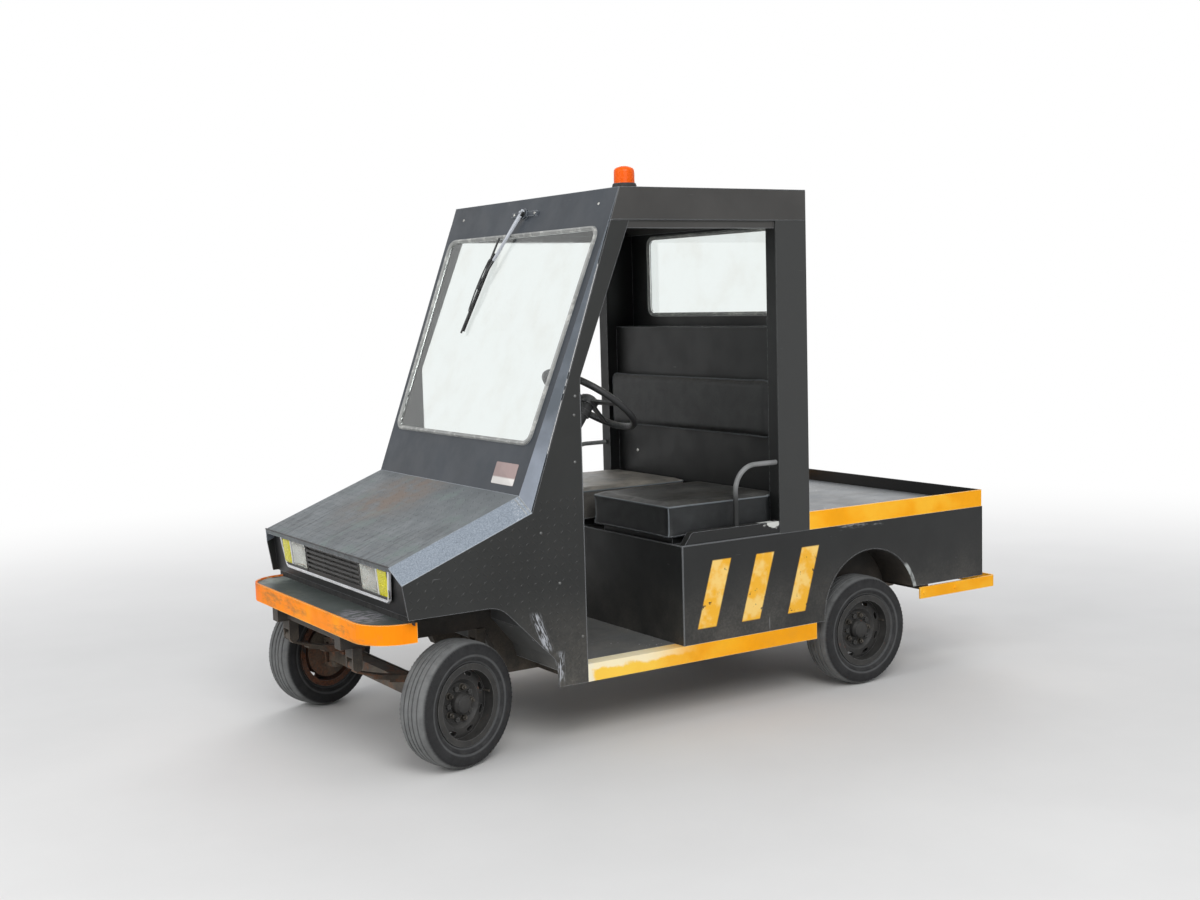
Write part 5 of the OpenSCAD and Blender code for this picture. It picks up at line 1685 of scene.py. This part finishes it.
def deck_screws():
    """Countersunk screws of the cargo deck along its joists."""
    head = turned(mm((7, -0.2), (7, 0.6), (5.2, 1.0), (3, 0.4), (0, 0.3)), 14)
    joists = (-1.288, -1.024, -0.759, -0.495)
    rows = (-0.55, -0.33, -0.11, 0.11, 0.33, 0.55)
    piece("deck_screws", spread(head, [at(x, y, BED_Z) for x in joists for y in rows]), "dull fixing")


def seat_box_edges():
    """Pale rods that paint the highlights of the edges round the seat box and up the front of each doorway.
    """
    r = 3.2 * MM
    runs = []
    edge = HALF_W - r * 0.6
    z = DECK_Z + 1 * MM
    front = BOX_X - 1 * MM
    door = DOOR_X + 2 * MM
    for y in (edge, -edge):
        runs.append(rod(vectors((BOX_X, y, z), (-0.1, y, z), (POST_X, y, z)), r))
        runs.append(rod(vectors((front, y, SILL_TOP + 4 * MM), (front, y, z)), r, up=AHEAD))
        runs.append(rod(vectors((door, y, SILL_TOP), (door, y, 1.26)), 2.6 * MM, up=AHEAD))
    runs.append(rod(vectors((front, -edge, z), (front, 0, z), (front, edge, z)), r))
    piece("seat_box_edges", join(*runs), "edge highlight")


def roof_beads():
    """Folded lips along the roof's sides, at their foot and top."""
    eaves = []
    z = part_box("cab_rear")[1].z + 1.5 * MM
    back = POST_REAR_X + 2 * MM
    lip_z = ROOF_FRONT.z - 2 * MM
    lip_front = ROOF_FRONT.x - 8 * MM
    for y in (HALF_W - 1.5 * MM, 1.5 * MM - HALF_W):
        eaves.append(rod(vectors((back, y, z), (0.0, y, z), (0.470, y, z)), 3 * MM))
        eaves.append(rod(vectors((back, y, lip_z), (0, y, lip_z), (lip_front, y, lip_z)), 2.6 * MM))
    piece("roof_beads", join(*eaves), "post")


def arch_lips():
    """Rolled lip round each rear arch, from the sill to the panel's lower edge."""
    reach = ARCH_R + 1 * MM
    path = [Vector((ARCH.x + reach * math.cos(a), HALF_W - 1 * MM, ARCH.z + reach * math.sin(a)))
        for a in (math.radians(b) for b in range(-3, 166, 3))]
    lip = rod(path, 3.2 * MM, up=LEFT)
    piece("rear_arch_lips", both_sides(lip), "side")


def well_walls():
    """Inner wall of each rear wheel well, above the axle."""
    r = ARCH_R + 1.5 * MM
    foot = math.asin(WELL_FOOT / r)
    bow = [foot + (math.pi - 2 * foot) * k / 40 for k in range(41)]
    outline = [(ARCH.x + r * math.cos(a), ARCH.z + r * math.sin(a)) for a in bow]
    wall = placed(plate(outline, 0, 2 * MM), basis(Vector((0, WELL_Y, 0)), AHEAD, UP))
    piece("wheel_well_walls", both_sides(wall), "frame")


def bumper_fixings():
    """Painted button heads that hold the rear bumper."""
    sides = [on_side(side, x, BUMPER_Z) for side in (1, -1) for x in (-1.02, -1.20)]
    side_heads = spread(dome_head(8 * MM, 4 * MM), sides)
    rear = basis(Vector((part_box("rear_bumper")[0].x, 0, 0)), -LEFT, UP)
    ends = [rear @ at(y, BUMPER_Z, 0) for y in (-0.295, 0.295)]
    rear_heads = spread(dome_head(9 * MM, 5 * MM), ends)
    piece("bumper_bolts", join(side_heads, rear_heads), "rail")


def tail_lamp_detail():
    """Turned lens of each tail lamp with its rings, in a rubber surround."""
    places = [ON_TAIL @ at(side * TAIL_LAMP_Y, TAIL_LAMP_Z, 0) for side in (1, -1)]
    profile = mm((0, 0.5), (50, 0.5), (50, 8))
    for k in range(9):
        r = (48 - k * 5) * MM
        profile += [(r, (10.2 + 0.25 * k) * MM), (r - 2.5 * MM, (11.6 + 0.22 * k) * MM)]
    profile.append((0, 13.8 * MM))
    shape = spread(turned(profile, 40), places)
    lenses = piece("tail_lamp_lenses", shape, "red lens", smooth=50)
    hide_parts("tail_lamps")
    ring = mm((49.5, 0), (57, 0), (58.5, 4), (57.5, 10), (54, 12.5), (51, 11.5), (49.5, 8))
    piece("tail_lamp_rubbers", spread(turned_ring(ring, 44), places), "black rubber")


def beacon():
    """Ribbed orange dome over a reflector, on its moulded foot."""
    z0 = BEACON.z + 18 * MM
    profile = mm((0, 0.2), (35, 0.2), (38, 1), (38, 5))
    for k in range(8):
        z = (7 + k * 4.6) * MM
        r = (37.4 - k * 0.08) * MM
        profile += [(r, z), (r + 0.6 * MM, z + 1.2 * MM), (r + 0.6 * MM, z + 2.4 * MM), (r, z + 3.6 * MM)]
    for a in (math.radians(b) for b in range(4, 90, 9)):
        profile.append((36.8 * math.cos(a) * MM, (45 + 18.6 * math.sin(a)) * MM))
    profile.append((0, 63.7 * MM))
    dome = placed(turned(profile, 48), at(BEACON.x, BEACON.y, z0))
    lens = piece("beacon_dome", dome, "beacon lens", smooth=40)
    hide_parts("beacon_lens")
    mirror = turned(mm((0, 2), (20, 2), (21, 9), (12, 14), (9, 26), (11, 38), (6, 43), (0, 44)), 28)
    piece("beacon_reflector", placed(mirror, at(BEACON.x, BEACON.y, z0)), "reflector")
    foot = turned(mm((44, 0), (45, 3), (43.5, 12), (41.5, 17), (39, 19.5), (37.6, 17)), 44)
    piece("beacon_foot_ring", placed(foot, at(*BEACON)), "black rubber")


# Wheels

def tyre_shape():
    """Tyre section turned about the axle: bead, ringed wall, worn shoulder and grooved tread."""
    profile = mm(
        (128, 48.5), (140, 49), (144.5, 50), (147, 53), (150, 56.5), (155, 60), (160, 62.4), (161.5, 63.6),
        (163.5, 63.6), (165, 62.9), (172, 64), (174, 64.9), (188, 65), (190, 64.2), (197, 64), (203, 62.4),
        (209, 59.4), (213.5, 54), (216, 47), (217.6, 39), (218.2, 34.4), (217.4, 33.6), (212.2, 33),
        (212, 29.4), (217.6, 28.4), (218.6, 27.4), (219.4, 18), (219.5, 12), (218.8, 11.2), (213.2, 10.6),
        (213, 7.4), (218.8, 6.8), (219.6, 6))
    profile += [(r, -z) for r, z in reversed(profile)]
    return turned_ring(profile, TYRE_STEPS)


def shoulder_ribs():
    """Small ribs moulded round each shoulder."""
    ribs = []
    for side in (1, -1):
        rings = []
        for r, z, out in ((196, 63.6, 0.5), (202, 62.3, 1.3), (208, 59.6, 1.4), (213, 54.2, 0.6)):
            rings.append([(r - 0.6, -1.7, side * (z - 0.8)), (r - 0.6, 1.7, side * (z - 0.8)),
                (r + out, 1.02, side * (z + out)), (r + out, -1.02, side * (z + out))])
        ribs.append(ringed([mm(*ring) for ring in rings]))
    return spread(join(*ribs), [spun(math.tau * k / SHOULDER_RIBS) for k in range(SHOULDER_RIBS)])


def wheel_nuts():
    """Chamfered nuts on their studs, and the valve."""
    nut = turned(mm((10.4, 6), (10.4, 18.5), (8.6, 20.6), (5.2, 20.8)), 6)
    stud = turned(mm((5, 12), (5, 26), (4.2, 27), (0, 27)), 14)
    cone = turned(mm((13, 5.8), (13, 7.6), (10, 8.6), (0, 8.6)), 18)
    places = [spun(math.tau * k / NUTS) @ at(NUT_CIRCLE_R, 0, 0) for k in range(NUTS)]
    nuts = spread(join(nut, stud, cone), places)
    valve = turned(mm((5.5, 8), (5, 16), (3.2, 19), (3.2, 34), (3.8, 34.5), (3.8, 40), (0, 41)), 12)
    return join(nuts, placed(valve, spun(math.radians(11)) @ at(VALVE_R, 0, 0)))


def hub_cap():
    """Pressed cap over the middle of a hub."""
    return turned(mm((30.2, 30), (31.5, 33), (30.8, 38.6), (27, 41.5), (16, 43.2), (0, 43.6)), 36)


def wheels():
    """Tyre, nuts and hub cap of each wheel, on the wheel's own body."""
    shape = join(tyre_shape(), shoulder_ribs())
    for corner in ("fl", "fr", "rl", "rr"):
        body = "wheel_" + corner
        place = wheel_place(body)
        tyre = piece("tyre_" + corner + "_rubber", shape, "tyre", body=body, place=place, smooth=38)
        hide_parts("tyre_" + corner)
        piece("wheel_nuts_" + corner, wheel_nuts(), "dark fixing", body=body, place=place)
        piece("hub_cap_" + corner, hub_cap(), "wheel", body=body, place=place)


# Light, floor and camera

def studio():
    scene = bpy.context.scene
    scene.view_settings.view_transform = "Standard"
    world = bpy.data.worlds.new("studio")
    scene.world = world
    world.use_nodes = True
    net = Net(world.node_tree)
    world.node_tree.nodes.clear()
    seen = net.seen()
    light = net.node("Background", {"Color": shade(244, 247, 255), "Strength": 0.62})
    white = net.node("Background", {"Color": (1, 1, 1, 1), "Strength": 1.0})
    both = net.node("MixShader", {0: seen, 1: light.outputs[0], 2: white.outputs[0]})
    net.node("OutputWorld", {"Surface": both.outputs[0]})
    for name, place, size, power in (
            ("key", (2.5, 6.0, 5.5), 4.0, 300),
            ("front", (7.0, 1.0, 3.5), 3.5, 150),
            ("fill", (-4.5, -5.5, 4.5), 4.5, 170)):
        lamp = bpy.data.lights.new(name, "AREA")
        lamp.size = size
        lamp.energy = power
        obj = bpy.data.objects.new(name + "_light", lamp)
        scene.collection.objects.link(obj)
        obj.location = place
        aim = Vector((0, 0, 0.8)) - Vector(place)
        obj.rotation_euler = aim.to_track_quat("-Z", "Y").to_euler()


def floor():
    """A pale floor that keeps the shadow and runs out to plain white."""
    f = Finish("pale floor", shade(214, 213, 210), 0.75)
    f.tone(0.8, 0.97, 1.03)
    f.relief(f.noise(f.at, 60.0, 4.0))
    away = f.node("VectorMath", {0: f.at}, operation="LENGTH").outputs["Value"]
    seen = f.seen()
    white = f.node("Emission", {"Color": (1, 1, 1, 1), "Strength": 1.0})
    far = f.times(seen, f.span(away, FLOOR_NEAR, FLOOR_FAR))
    both = f.node("MixShader", {0: far, 1: f.shader.outputs[0], 2: white.outputs[0]})
    f.put(f.output.inputs["Surface"], both.outputs[0])
    verts, faces = plate(box_line(60.0, 60.0, 2.0), -0.05, 0.0)
    mesh = bpy.data.meshes.new("studio_floor")
    mesh.from_pydata([tuple(v) for v in verts], [], faces)
    mesh.materials.append(f.done(0.001, 0.2))
    obj = bpy.data.objects.new("studio_floor", mesh)
    bpy.context.scene.collection.objects.link(obj)


def camera():
    """The photograph's standpoint: a 45 mm lens at a standing person's eye."""
    lens = bpy.data.cameras.new("camera")
    lens.lens = LENS
    lens.sensor_width = 36
    lens.clip_end = 200
    obj = bpy.data.objects.new("camera", lens)
    bpy.context.scene.collection.objects.link(obj)
    obj.matrix_world = basis(EYE, EYE_RIGHT, EYE_UP)
    bpy.context.scene.camera = obj


paint_frame()
hood_lugs()
side_lugs()
hood_edges()
lamps()
nose_trim()
lamp_frame_lips()
grille_bars()
lamp_frame_screws()
nose_flap()
window_beads()
pillar_fixings()
blank_plate()
wiper_arm_cover()
wiper_blade()
wiper_motor()
steering_trim()
dash_fittings()
pedal_rubbers()
cushions()
backrest()
side_rivets()
tail_bolts()
board_bolts()
deck_screws()
seat_box_edges()
roof_beads()
arch_lips()
well_walls()
bumper_fixings()
tail_lamp_detail()
beacon()
wheels()
studio()
floor()
camera()
